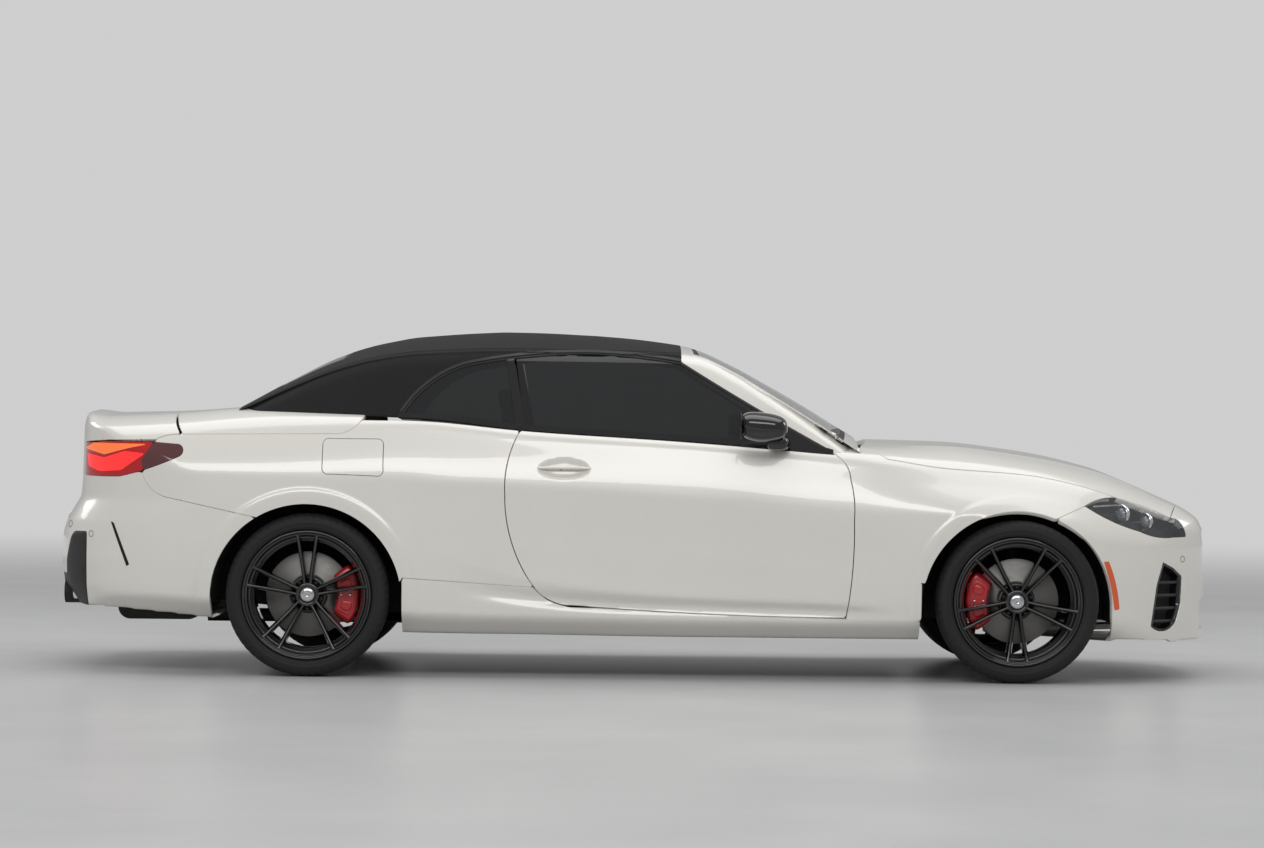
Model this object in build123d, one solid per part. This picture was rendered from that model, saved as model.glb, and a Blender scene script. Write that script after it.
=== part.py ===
"""A two-door, four-seat soft-top convertible, as an assembly of its real panels, glass, wheels and seats.

Units are millimetres. X points forward, Y to the car's left and Z up. The origin is on the ground,
midway along the car and on its centre plane. Right-hand pieces lie at negative Y.
"""

from build123d import *
import os
from collections import namedtuple

os.makedirs("parts", exist_ok=True)

# ---------------------------------------------------------------- driving dimensions
LENGTH = 4770.0
WHEELBASE = 2851.0
FRONT_OVERHANG = 847.0
NOSE_X = LENGTH / 2
TAIL_X = -LENGTH / 2
F = NOSE_X - FRONT_OVERHANG  # front axle
R = F - WHEELBASE  # rear axle

HUB_Z = 327.0  # height of the wheel centres
TYRE_R = 327.0
RIM_R = 259.0
FRONT_TRACK = 1590.0
REAR_TRACK = 1594.0
FRONT_TYRE_W = 225.0
REAR_TYRE_W = 245.0
ARCH_R = 385.0
ARCH_DROP = 20.0  # the arch's centre lies this far below the wheel's
ARCH_DEPTH = 470.0  # the wheel house reaches in to this half-width

MAX_HALF_W = 960.0  # beyond the body's sides
END_RUN = 760.0  # length over which the plan of an end is rounded
SKIN = 22.0  # thickness of a bolted panel with its frame
SIDE_WALL = 62.0  # quarter panel and bumpers with what lies behind them
GAP = 8.0  # shut gap round the moving panels
SEAT_GAP = 0.3  # where one piece is seated on another
GLASS = 5.0

KINGPIN_IN = 60.0  # the steering axis lies this far inboard of the tyre's middle
DISC_R = 172.0
STUB_R = 33.0
PIVOT_GAP = 0.3  # radial clearance of every pin in its eye

# ends, lamps, grilles, sockets, plate and tailpipes
HEADLAMP_IN_Y = 590.0
GRILLE_HALF_W = 430.0
GRILLE_Z = (425.0, 610.0)
LOWER_HALF_W = 480.0
LOWER_Z = (205.0, 330.0)
SLAT_T = 8.0
SOCKET_R = 9.0
SOCKET_L = 60.0
SOCKET_Y = -300.0
FRONT_SOCKET_X = NOSE_X - 65
FRONT_SOCKET_Z = 378.0
REAR_SOCKET_X = TAIL_X + 25
REAR_SOCKET_Z = 478.0
PLATE_FACE_X = -2283.0
PLATE_HALF_W = 265.0
PLATE_Z = (735.0, 865.0)
DIFFUSER_HALF_W = 700.0
DIFFUSER_TOP = 420.0
TAILPIPE_Y = 520.0
TAILPIPE_Z = 318.0
TAILPIPE_R = 48.0
HANDLE_X = (-400.0, -175.0)
HANDLE_Z = 845.0
REAR_WINDOW_X = (-1480.0, -1190.0)
REAR_WINDOW_HALF_W = 420.0
FLAP_AXIS_Y = 866.0

# wheels, brakes and steering
DISC_S = (-24.0, 0.0)  # across the wheel, outboard from the tyre's middle
HUB_S = (-30.0, 62.0)
SPOKE_PAIRS = 5
SPOKE_SPLIT = 9.0  # degrees from a pair's middle to each of its spokes
LOWER_BALL_Z = 196.0
UPPER_BALL_Z = 458.0
BALL_PIN_R = 9.0
CALIPER_R = (104.0, 200.0)
CALIPER_HALF_H = 72.0
CALIPER_SIDE_FRONT = -1  # behind the front axle
CALIPER_SIDE_REAR = 1  # ahead of the rear axle
STEER_WHEEL_AT = (360.0, 370.0, 800.0)
COLUMN_TILT = 66.0  # degrees between the column and the vertical

# ---------------------------------------------------------------- the body's cross-sections
# Half-sections from the tail to the nose. Each vertex is a real feature line of the side:
# floor edge, sill, waist, upper crease, shoulder edge, mid deck and centre line.
Section = namedtuple(
    "Section",
    "x z_bot y_bot z_sill y_sill z_waist y_waist z_crease y_crease z_edge y_edge z_mid y_mid z_top",
)
SECTIONS = [
    Section(TAIL_X - 20, 255, 600, 340, 690, 560, 745, 790, 715, 960, 640, 1015, 420, 1035),
    Section(R - 887, 265, 690, 340, 790, 560, 838, 795, 822, 975, 745, 1035, 500, 1052),
    Section(R - 587, 245, 770, 330, 865, 560, 890, 800, 880, 990, 800, 1050, 560, 1062),
    Section(R - 150, 200, 800, 295, 900, 560, 924, 795, 912, 1020, 818, 1080, 620, 1090),
    Section(R + 420, 175, 800, 270, 895, 560, 905, 782, 905, 1036, 825, 1048, 650, 1052),
    Section(R + 860, 172, 795, 260, 885, 540, 890, 768, 900, 996, 840, 1004, 650, 1008),
    Section(F - 1288, 168, 795, 255, 880, 530, 885, 732, 898, 955, 848, 964, 650, 972),
    Section(F - 688, 168, 795, 255, 880, 520, 892, 682, 906, 908, 846, 945, 650, 972),
    Section(F - 288, 168, 790, 255, 885, 520, 912, 662, 916, 872, 786, 940, 540, 966),
    Section(F + 62, 170, 780, 260, 885, 520, 914, 655, 910, 836, 752, 900, 500, 930),
    Section(F + 362, 162, 755, 270, 855, 500, 880, 635, 862, 765, 712, 838, 450, 866),
    Section(F + 612, 152, 720, 270, 800, 480, 815, 600, 788, 682, 640, 748, 400, 770),
    Section(NOSE_X + 20, 150, 640, 250, 700, 450, 720, 560, 688, 625, 560, 665, 350, 685),
]


EndLevel = namedtuple("EndLevel", "z tail_in nose_in")
END_LEVELS = [
    EndLevel(60, 160, 80),
    EndLevel(160, 130, 8),
    EndLevel(260, 78, 0),
    EndLevel(350, 14, 0),
    EndLevel(450, 0, 0),
    EndLevel(550, 2, 0),
    EndLevel(610, 20, 8),
    EndLevel(660, 48, 32),
    EndLevel(705, 76, 85),
    EndLevel(770, 82, 215),
    EndLevel(1000, 88, 260),
    EndLevel(1060, 104, 280),
    EndLevel(1160, 130, 300),
]
NOSE_CORNER = [(110, 520), (240, 700), (480, 850)]  # back from the tip, half-width
TAIL_CORNER = [(62, 600), (190, 775), (440, 880)]

# ---------------------------------------------------------------- the greenhouse's cross-sections
# Side glass and roof: each section is a base, two straight sides up to the rails and a crown arc.
TopSection = namedtuple("TopSection", "x z_base y_base z_rail y_rail z_top")
TOP_SECTIONS = [
    TopSection(R - 357, 950, 760, 1040, 700, 1064),
    TopSection(R - 247, 955, 778, 1085, 690, 1130),
    TopSection(R - 109, 960, 795, 1150, 672, 1207),
    TopSection(R + 80, 960, 808, 1228, 648, 1300),
    TopSection(R + 249, 958, 814, 1275, 630, 1352),
    TopSection(R + 438, 955, 818, 1302, 617, 1384),
    TopSection(R + 813, 948, 822, 1316, 612, 1405),
    TopSection(R + 1213, 930, 826, 1314, 612, 1389),
    TopSection(R + 1463, 918, 829, 1310, 612, 1362),
    TopSection(R + 1548, 915, 830, 1304, 613, 1346),
    TopSection(R + 1708, 910, 831, 1238, 650, 1279),
    TopSection(R + 1835, 905, 832, 1161, 697, 1212),
    TopSection(R + 2013, 895, 832, 1050, 760, 1112),
    TopSection(R + 2218, 880, 830, 915, 824, 985),
]

SOFT_TOP_FRONT = 180.0
TOP_CLOTH = 28.0  # fabric, padding and bows together
PILLAR = 46.0
GLASS_LAP = 16.0  # the windscreen laps its frame by this much
GLASS_INSET = 4.0  # the side glass lies this far inside the pillars' skin

# ---------------------------------------------------------------- floor and structure
FLOOR_Z = 176.0
FLOOR_T = 30.0
TUB_HALF_W = 690.0
ROCKER_HALF_W = 758.0
ROCKER_TOP = 400.0
JACK_PAD_X = (760.0, 840.0)
JACK_PAD_Y = (-752.0, -700.0)
JACK_PAD_Z = 170.0
FIREWALL_X = 905.0
FIREWALL_T = 25.0
FIREWALL_TOP = 880.0
BULKHEAD_X = R + 133
TUNNEL_HALF_W = 120.0
TUNNEL_TOP = 400.0
BOOT_FLOOR_Z = 400.0
LINER = 10.0
RAIL_BOTTOM_FRONT = 300.0
RAIL_BOTTOM_REAR = 330.0

# ---------------------------------------------------------------- doors
DOOR_INNER_Y = 795.0
DOOR_AXIS_X = 806.0
DOOR_AXIS_Y = 876.0
DOOR_HINGE_Z = (548.0, 712.0)
HINGE_PIN_R = 4.5
HINGE_EYE_R = 9.0
HINGE_ARM_H = 36.0
DOOR_SKIN_AT_HINGE = 4.0

# ---------------------------------------------------------------- lids
LID_PIN_R = 4.0
LID_EYE_R = 7.5
LID_EYE_W = 20.0
LID_AXIS_IN = 24.0  # and this far in from the lid's hinged edge
HOOD_REAR_X = 912.0
HOOD_AXIS_X = HOOD_REAR_X + LID_AXIS_IN
HOOD_AXIS_Z = 932.0
HOOD_HINGE_Y = 600.0
COWL_STEP_X = 903.0  # the cowl drops here, behind the swing of the hood's rear edge
COWL_FRONT_X = 1000.0
COWL_HALF_W = 550.0
COWL_DROP = 50.0
COWL_T = 15.0
COWL_LOW_Z = 882.0
TRUNK_FRONT_X = -1874.0
TRUNK_AXIS_X = TRUNK_FRONT_X - LID_AXIS_IN
TRUNK_AXIS_Z = 1030.0
TRUNK_HINGE_Y = 520.0
TRUNK_EDGE_SWING = 49.0  # the lid's front edge swings within this radius
TRUNK_CORNER_SWING = 95.0  # and the lower corner of its side wrap within this one
TRUNK_CORNER_Y = 822.0
TRUNK_LOW_Z = 700.0
TRUNK_FACE_HALF_W = 555.0
TAIL_LAMP_IN_Y = TRUNK_FACE_HALF_W + GAP + 2
LID_SKIN = 28.0

FLAP_X = (-1257.0, -1016.0)
FLAP_Z = (810.0, 956.0)
FLAP_TILT = 20.3  # degrees that the quarter's skin leans in there
FLAP_GAP = 7.0
FLAP_T = 4.0


def arc_loop(points):
    """Edges of a closed loop; a point tuple of one is a line's end, of two an arc's middle and end."""
    edges, here = [], points[0][-1]
    for step in points[1:]:
        end = step[-1]
        if len(step) == 1:
            edges.append(Edge.make_line(here, end))
        else:
            edges.append(Edge.make_three_point_arc(here, step[0], end))
        here = end
    return Wire(edges)


def body_loft(inset=0.0, lift=0.0):
    """The closed outer form of the body below the belt, taken in by inset all round."""
    faces = []
    for s in SECTIONS:
        half = [
            (0, s.z_bot + lift),
            (s.y_bot - inset, s.z_bot + lift),
            (s.y_sill - inset, s.z_sill + lift * 0.5),
            (s.y_waist - inset, s.z_waist),
            (s.y_crease - inset, s.z_crease - inset * 0.2),
            (s.y_edge - inset, s.z_edge - inset),
            (s.y_mid - inset * 0.5, s.z_mid - inset),
            (0, s.z_top - inset),
        ]
        loop = half + [(-y, z) for y, z in half[-2:0:-1]]
        faces.append(make_face(Polyline([(s.x, y, z) for y, z in loop], close=True)))
    return loft(faces)


def end_form(inset=0.0):
    """The rounded plan of the nose and the tail, stacked over the heights in END_LEVELS."""
    faces = []
    for lv in END_LEVELS:
        tail = TAIL_X + lv.tail_in + inset
        nose = NOSE_X - lv.nose_in - inset
        side = MAX_HALF_W - inset
        n = [(nose - back, half - inset, lv.z) for back, half in NOSE_CORNER]
        t = [(tail + back, half - inset, lv.z) for back, half in TAIL_CORNER]
        nr = [(x, -y, z) for x, y, z in n]
        tr = [(x, -y, z) for x, y, z in t]
        loop = [
            (tr[0],),
            ((tail, 0, lv.z), t[0]),
            (t[1], t[2]),
            ((tail + END_RUN, side, lv.z),),
            ((nose - END_RUN, side, lv.z),),
            (n[2],),
            (n[1], n[0]),
            ((nose, 0, lv.z), nr[0]),
            (nr[1], nr[2]),
            ((nose - END_RUN, -side, lv.z),),
            ((tail + END_RUN, -side, lv.z),),
            (tr[2],),
            (tr[1], tr[0]),
        ]
        faces.append(Face(arc_loop(loop)))
    return loft(faces, ruled=True)


def body_form(inset=0.0, lift=None):
    """The whole outer form of the body, or the same taken in by inset."""
    return body_loft(inset, inset if lift is None else lift) & end_form(inset)


def greenhouse(inset=0.0):
    """The outer form of roof, pillars and side glass, taken in by inset."""
    faces = []
    for s in TOP_SECTIONS:
        low = s.z_base - (20 if inset > 0 else 0)
        right_base, left_base = (s.x, -(s.y_base - inset), low), (s.x, s.y_base - inset, low)
        rail_z, rail_y = s.z_rail - inset * 0.9, s.y_rail - inset
        loop = [
            (right_base,),
            (left_base,),
            ((s.x, rail_y, rail_z),),
            ((s.x, 0, s.z_top - inset), (s.x, -rail_y, rail_z)),
            (right_base,),
        ]
        faces.append(Face(arc_loop(loop)))
    return loft(faces)


def wire(start, steps):
    """A closed wire from start; a step is (end,) for a line or (through, end) for an arc."""
    edges, here = [], start
    for step in steps:
        end = step[-1]
        if len(step) == 1:
            edges.append(Edge.make_line(here, end))
        else:
            edges.append(Edge.make_three_point_arc(here, step[0], end))
        here = end
    if (Vector(*here) - Vector(*start)).length > 1e-6:
        edges.append(Edge.make_line(here, start))
    return Wire(edges)


def side_face(start, steps):
    """An outline in X and Z as a face on the centre plane."""
    lift = lambda p: (p[0], 0, p[1])
    return Face(wire(lift(start), [tuple(lift(p) for p in s) for s in steps]))


def side_prism(start, steps, y0, y1, grow=0.0):
    """An outline in X and Z, grown by grow, run across the car from y0 to y1."""
    face = side_face(start, steps)
    if grow:
        face = offset(face, amount=grow, kind=Kind.ARC)
    return Pos(0, y0, 0) * extrude(face, amount=y1 - y0, dir=(0, 1, 0))


def plan_prism(start, steps, z0, z1, grow=0.0):
    """An outline in X and Y, grown by grow, run up from z0 to z1."""
    lift = lambda p: (p[0], p[1], 0)
    face = Face(wire(lift(start), [tuple(lift(p) for p in s) for s in steps]))
    if grow:
        face = offset(face, amount=grow, kind=Kind.ARC)
    return Pos(0, 0, z0) * extrude(face, amount=z1 - z0, dir=(0, 0, 1))


def block(x0, x1, y0, y1, z0, z1):
    """A box between two corners."""
    return Pos((x0 + x1) / 2, (y0 + y1) / 2, (z0 + z1) / 2) * Box(x1 - x0, y1 - y0, z1 - z0)


def cylinder_y(x, z, radius, y0, y1):
    """A cylinder along Y."""
    return Pos(x, (y0 + y1) / 2, z) * Rot(90, 0, 0) * Cylinder(radius, abs(y1 - y0))


def cylinder_z(x, y, radius, z0, z1):
    """A cylinder along Z."""
    return Pos(x, y, (z0 + z1) / 2) * Cylinder(radius, z1 - z0)


def mirrored(shape):
    """The same piece on the other side of the car."""
    return mirror(shape, about=Plane.XZ)


def both(shape):
    """A right-hand piece together with its mirror image."""
    return shape + mirrored(shape)


def arch(x, y0, y1, grow=0.0):
    """The space of a right-hand wheel house between two values of y."""
    radius = ARCH_R + grow
    z = HUB_Z - ARCH_DROP
    return cylinder_y(x, z, radius, y0, y1) + block(x - radius, x + radius, y0, y1, -10, z)


def arches(depth=ARCH_DEPTH, grow=0.0):
    """All four wheel houses."""
    right = arch(F, -1000, -depth, grow) + arch(R - 6, -1000, -depth, grow)
    return right, mirrored(right)


# ---------------------------------------------------------------- side outlines (X, Z)
DOOR_OUTLINE = (
    (-466, 1100),
    [
        ((-466, 992),),
        ((-514, 860), (-522, 740)),
        ((-490, 535), (-391, 352)),
        ((-335, 312), (-258, 297)),
        ((263, 268), (848, 257)),
        ((872, 440), (876, 650)),
        ((875, 735), (862, 810)),
        ((842, 872), (801, 909)),
        ((795, 1100),),
    ],
)
HOOD_OUTLINE = (
    (960, 0),
    [
        ((948, -330), (HOOD_REAR_X, -640)),
        ((938, -745), (1015, -810)),
        ((1480, -757), (1880, -700)),
        ((2040, -668), (2180, -615)),
        ((2262, 0), (2180, 615)),
        ((2040, 668), (1880, 700)),
        ((1480, 757), (1015, 810)),
        ((938, 745), (HOOD_REAR_X, 640)),
        ((948, 330), (960, 0)),
    ],
)
HEADLAMP_OUTLINE = (
    (1813, 713),
    [
        ((1877, 740), (2000, 734)),
        ((2100, 702), (2190, 662)),
        ((2400, 640),),
        ((2400, 592),),
        ((2182, 587),),
        ((2121, 588), (2040, 612)),
        ((1925, 652), (1813, 713)),
    ],
)
TAIL_LAMP_OUTLINE = (
    (-1848, 926),
    [
        ((-1929, 932),),
        ((-2132, 935),),
        ((-2400, 915),),
        ((-2400, 800),),
        ((-2160, 792),),
        ((-2082, 793),),
        ((-1960, 826), (-1835, 876)),
        ((-1819, 901), (-1848, 926)),
    ],
)
WINDOW_OUTLINE = (
    (-972, 880),
    [
        ((-964, 1030),),
        ((-880, 1148), (-700, 1260)),
        ((-420, 1305), (SOFT_TOP_FRONT, 1280)),
        ((500, 1086), (793, 922)),
        ((800, 880),),
    ],
)


def side_window(y0, y1, grow=0.0):
    """The side glass opening on one side, as a prism."""
    return side_prism(*WINDOW_OUTLINE, y0, y1, grow)


# ---------------------------------------------------------------- body panels
def build_forms():
    """The forms that the panels are cut from."""
    forms = {"outer": body_form(), "seat": body_form(-SEAT_GAP)}
    for name, inset in (("skin", SKIN), ("lid", LID_SKIN), ("side", SIDE_WALL)):
        forms[name] = body_form(inset)
    forms["behind_skin"] = body_form(SKIN + SEAT_GAP)
    forms["behind_side"] = body_form(SIDE_WALL + SEAT_GAP)
    for name in ("skin", "lid", "side"):
        forms[name + "_shell"] = forms["outer"] - forms[name]
    return forms


def fender(forms):
    """The right front fender, from the door to the headlamp and up to the hood."""
    outline = (
        (700, 1100),
        [
            ((700, 250),),
            ((F - ARCH_R - 5, 250),),
            ((F - ARCH_R - 5, 400),),
            ((1500, 400),),
            ((1500, 580 + SEAT_GAP),),
            ((1715, 672),),
            ((1813, 713 + SEAT_GAP),),
            ((2230, 713),),
            ((2230, 1100),),
        ],
    )
    piece = forms["skin_shell"] & side_prism(*outline, -1000, -560)
    piece -= side_prism(*DOOR_OUTLINE, -1000, -500, GAP)
    piece -= block(600, 1000, -700 - SEAT_GAP, 0, 0, 1200)
    piece -= arch(F, -1000, -300)
    piece -= plan_prism(*HOOD_OUTLINE, 600, 1100, GAP)
    piece -= side_prism(*HEADLAMP_OUTLINE, -1000, -300, SEAT_GAP)
    lip = side_prism(*DOOR_OUTLINE, -1000, -600, GAP + 34) & forms["lip"]
    piece -= lip & block(600, 1000, -1000, -600, 0, 880)
    piece -= block(600, 900, -1000, -500, 0, 256)
    return biggest(piece)


def biggest(shape):
    """The largest solid of a cut, without its slivers."""
    return max(shape.solids(), key=lambda s: s.volume)


def front_bumper(forms):
    """The front cover, from one arch round the nose to the other, with its openings."""
    outline = (
        (1500, 100),
        [
            ((1500, 580),),
            ((1715, 672 - SEAT_GAP),),
            ((1813, 713),),
            ((2000, 760),),
            ((2420, 800),),
            ((2420, 100),),
        ],
    )
    piece = forms["side_shell"] & side_prism(*outline, -1000, 1000)
    for cut in arches():
        piece -= cut
    lamp = side_prism(*HEADLAMP_OUTLINE, -1000, -HEADLAMP_IN_Y + SEAT_GAP, SEAT_GAP)
    piece -= both(lamp)
    piece -= plan_prism(*HOOD_OUTLINE, 640, 1100, GAP)
    piece -= block(1400, 2100, -HEADLAMP_IN_Y, HEADLAMP_IN_Y, 640, 1100)
    piece -= block(1400, 2010, -660, 660, 100, 700)
    piece -= grille_opening(0)
    piece -= lower_opening(0)
    piece -= both(side_intake())
    return biggest(tow_socket(piece, FRONT_SOCKET_X, 1, FRONT_SOCKET_Z))


def tow_socket(piece, mouth_x, outward, z):
    """A bumper with a dished socket for a towing eye; outward is the way it opens along X."""
    def bar(x0, x1, radius):
        low, high = sorted((mouth_x + outward * x0, mouth_x + outward * x1))
        return Pos((low + high) / 2, SOCKET_Y, z) * Rot(0, 90, 0) * Cylinder(radius, high - low)

    piece += bar(-SOCKET_L - 15, -5, SOCKET_R + 11)
    piece -= bar(0, 100, SOCKET_R + 17)
    return piece - bar(-SOCKET_L, 10, SOCKET_R)


def rounded_opening(half_w, z0, z1, radius, x0, x1, grow):
    """A rounded rectangle seen from the front, run from x0 to x1."""
    width, height = 2 * (half_w + grow), z1 - z0 + 2 * grow
    shape = Pos((x0 + x1) / 2, 0, (z0 + z1) / 2) * Box(x1 - x0, width, height)
    return fillet(shape.edges().filter_by(Axis.X), radius + grow)


def grille_opening(grow):
    """The upper grille's opening in the nose."""
    return rounded_opening(GRILLE_HALF_W, *GRILLE_Z, 45, 2150, 2450, grow)


def lower_opening(grow):
    """The lower grille's opening in the nose."""
    return rounded_opening(LOWER_HALF_W, *LOWER_Z, 30, 2150, 2450, grow)


def side_intake():
    """The pocket in the right-hand corner of the front bumper."""
    outline = (
        (2141, 488),
        [
            ((2190, 464),),
            ((2232, 428),),
            ((2226, 315),),
            ((2206, 250),),
            ((2150, 206), (2088, 228)),
            ((2113, 395),),
        ],
    )
    return side_prism(*outline, -1000, -690)


def grilles(forms):
    """Two slatted inserts: the wide upper grille and the lower intake's."""
    pieces = []
    band = forms["behind_grille"] - forms["grille_back"]
    for form, zs, half_w, rows in (
        (grille_opening, GRILLE_Z, GRILLE_HALF_W, 6),
        (lower_opening, LOWER_Z, LOWER_HALF_W, 3),
    ):
        frame = form(-SEAT_GAP) - form(-14)
        step = (zs[1] - zs[0]) / (rows + 1)
        for i in range(rows):
            z = zs[0] + step * (i + 1)
            frame += block(2150, 2450, -half_w + 1, half_w - 1, z - SLAT_T / 2,
                z + SLAT_T / 2) & form(-SEAT_GAP)
        pieces.append(biggest(frame & band))
    return Compound(children=pieces)


def headlamp(forms):
    """The right headlamp, a closed unit behind its clear cover."""
    shell = forms["outer"] - forms["lamp"]
    lamp = shell & side_prism(*HEADLAMP_OUTLINE, -1000, -HEADLAMP_IN_Y)
    return biggest(lamp - plan_prism(*HOOD_OUTLINE, 500, 1100, GAP))


def tail_lamp(forms):
    """The right tail lamp, wrapping the corner."""
    shell = forms["outer"] - forms["lamp"]
    return biggest(shell & side_prism(*TAIL_LAMP_OUTLINE, -1000, -TAIL_LAMP_IN_Y))


TONNEAU_OUTLINE = (
    (-1093, 1120),
    [
        ((-1093, 1052),),
        ((-1133, 1001), (-1193, 974)),
        ((-1825, 966),),
        ((-1846, 1006), (-1866, 1058)),
        ((-1866, 1120),),
    ],
)
TRUNK_OUTLINE = (
    (TRUNK_FRONT_X, 1150),
    [
        ((TRUNK_FRONT_X, 1058),),
        ((-1856, 1006), (-1836, 966)),
        ((-1897, 960), (-1935, 936 + GAP)),
        ((-2450, 936 + GAP),),
        ((-2450, 1150),),
    ],
)
BUMPER_OUTLINE = (
    (-1500, 100),
    [
        ((-1500, 632),),
        ((-1865, 709),),
        ((-1945, 745), (-1985, 812)),
        ((-2450, 812),),
        ((-2450, 100),),
    ],
)


def quarter(forms):
    """The right rear quarter, from the door's rear edge to the tail lamp and the bumper."""
    piece = forms["side_shell"] & block(-2400, -300, -1000, -TRUNK_FACE_HALF_W - GAP - 2, 250, 1100)
    piece -= side_prism(*DOOR_OUTLINE, -1000, -500, GAP)
    piece -= side_prism(*TONNEAU_OUTLINE, -1000, -300, SEAT_GAP)
    piece -= side_prism(*TRUNK_OUTLINE, -1000, -300, GAP)
    piece -= side_prism(*TAIL_LAMP_OUTLINE, -1000, -300, SEAT_GAP)
    piece -= side_prism(*BUMPER_OUTLINE, -1000, -300, SEAT_GAP)
    piece -= side_prism(*SILL_OUTLINE, -1000, -300, SEAT_GAP)
    piece -= arch(R - 6, -1000, -300)
    piece -= block(-1100, -300, -720, 0, 250, 1200)
    piece -= quarter_glass_blank(SEAT_GAP)
    piece -= cylinder_y(TRUNK_AXIS_X, TRUNK_AXIS_Z, TRUNK_CORNER_SWING, -TRUNK_CORNER_Y, -300)
    return biggest(piece)


SILL_OUTLINE = (
    (F - ARCH_R - 6, 100),
    [
        ((F - ARCH_R - 6, 248),),
        ((850, 256 - GAP),),
        ((-140, 292 - GAP),),
        ((-258, 293 - GAP),),
        ((-395, 350), (-412, 366)),
        ((R - 6 + ARCH_R + 1, 399),),
        ((R - 6 + ARCH_R + 1, 100),),
    ],
)


def sill(forms):
    """The right sill, below the door between the arches."""
    piece = forms["outer"] & side_prism(*SILL_OUTLINE, -1000, -TUB_HALF_W - SEAT_GAP)
    piece -= side_prism(*DOOR_OUTLINE, -1000, 0, GAP)
    inner = block(-402, 900, -ROCKER_HALF_W - SEAT_GAP, 0, 0, 500) + block(-1000, -402, -720, 0, 0, 500)
    hollow = forms["skin_shell"]
    return biggest((piece & hollow) + (piece & block(-1000, 1200, -1000, -ROCKER_HALF_W, 176,
        210)) - inner)


def rear_bumper(forms):
    """The rear cover, from one arch round the tail to the other."""
    piece = forms["side_shell"] & side_prism(*BUMPER_OUTLINE, -1000, 1000)
    for cut in arches():
        piece -= cut
    lamp = side_prism(*TAIL_LAMP_OUTLINE, -1000, -300, SEAT_GAP)
    piece -= both(lamp)
    piece -= block(-2500, -1500, -TRUNK_FACE_HALF_W - GAP, TRUNK_FACE_HALF_W + GAP,
        TRUNK_LOW_Z - GAP, 900)
    piece -= block(-2250, -1400, -660, 660, 100, 700)
    piece -= diffuser_blank(SEAT_GAP)
    return biggest(tow_socket(piece, REAR_SOCKET_X, -1, REAR_SOCKET_Z))


def diffuser_blank(grow=0.0):
    """The space of the dark lower insert of the tail."""
    half = DIFFUSER_HALF_W + grow
    top = DIFFUSER_TOP + grow
    steps = [((-2160 + grow, 100),), ((-2160 + grow, 200),), ((-2230 + grow, top),), ((-2450, top),)]
    return side_prism((-2450, 100), steps, -half, half)


def diffuser(forms):
    """The dark lower insert, with its fins and the cut-outs for the tailpipes."""
    piece = forms["side_shell"] & diffuser_blank()
    for y in (-TAILPIPE_Y, TAILPIPE_Y):
        piece -= Pos(-2300, y, TAILPIPE_Z) * Rot(0, 90, 0) * Cylinder(TAILPIPE_R + 12, 500)
    return biggest(piece)


def tonneau_cover(forms):
    """The cover over the folded-top well, wrapping the shoulders beside the soft top."""
    piece = forms["lid_shell"] & side_prism(*TONNEAU_OUTLINE, -1000, 1000)
    piece -= cylinder_y(TRUNK_AXIS_X, TRUNK_AXIS_Z, TRUNK_EDGE_SWING, -700, 700)
    return biggest(piece - block(-1560, -900, -700, 700, 800, 1200))


def trunk_lid(forms):
    """The boot lid: the deck, its side wraps and the rear face between the lamps."""
    deck = side_prism(*TRUNK_OUTLINE, -1000, 1000)
    face = block(-2450, -2150, -TRUNK_FACE_HALF_W, TRUNK_FACE_HALF_W, TRUNK_LOW_Z, 960)
    piece = forms["lid_shell"] & (deck + face)
    piece -= block(-2450, PLATE_FACE_X, -PLATE_HALF_W, PLATE_HALF_W, *PLATE_Z)
    for y in (-TRUNK_HINGE_Y, TRUNK_HINGE_Y):
        half = LID_EYE_W / 2 + 2
        boss = block(TRUNK_AXIS_X - 26, TRUNK_FRONT_X - 3, y - half - 16, y + half + 16, 1008,
            1040) & forms["outer"]
        piece += boss
        reach = LID_EYE_R + 2.5
        piece -= cylinder_y(TRUNK_AXIS_X, TRUNK_AXIS_Z, reach, y - half, y + half)
        piece -= block(TRUNK_AXIS_X - reach, TRUNK_FRONT_X + 20, y - half, y + half, 980,
            TRUNK_AXIS_Z + 9.5)
        piece += cylinder_y(TRUNK_AXIS_X, TRUNK_AXIS_Z, LID_PIN_R, y - half - 1, y + half + 1)
    return biggest(piece)


def hood(forms):
    """The hood with its two hinge pockets."""
    piece = forms["lid_shell"] & plan_prism(*HOOD_OUTLINE, 640, 1100)
    for y in (-HOOD_HINGE_Y, HOOD_HINGE_Y):
        half = LID_EYE_W / 2 + 2
        boss = block(HOOD_REAR_X + 6, HOOD_AXIS_X + 26, y - half - 16, y + half + 16, 908,
            946) & forms["outer"]
        piece += boss & plan_prism(*HOOD_OUTLINE, 640, 1100)
        reach = LID_EYE_R + 2.5
        piece -= cylinder_y(HOOD_AXIS_X, HOOD_AXIS_Z, reach, y - half, y + half)
        piece -= block(HOOD_REAR_X - 20, HOOD_AXIS_X + reach, y - half, y + half, 880, HOOD_AXIS_Z + 5)
        piece += cylinder_y(HOOD_AXIS_X, HOOD_AXIS_Z, LID_PIN_R, y - half - 1, y + half + 1)
    return biggest(piece)


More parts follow.
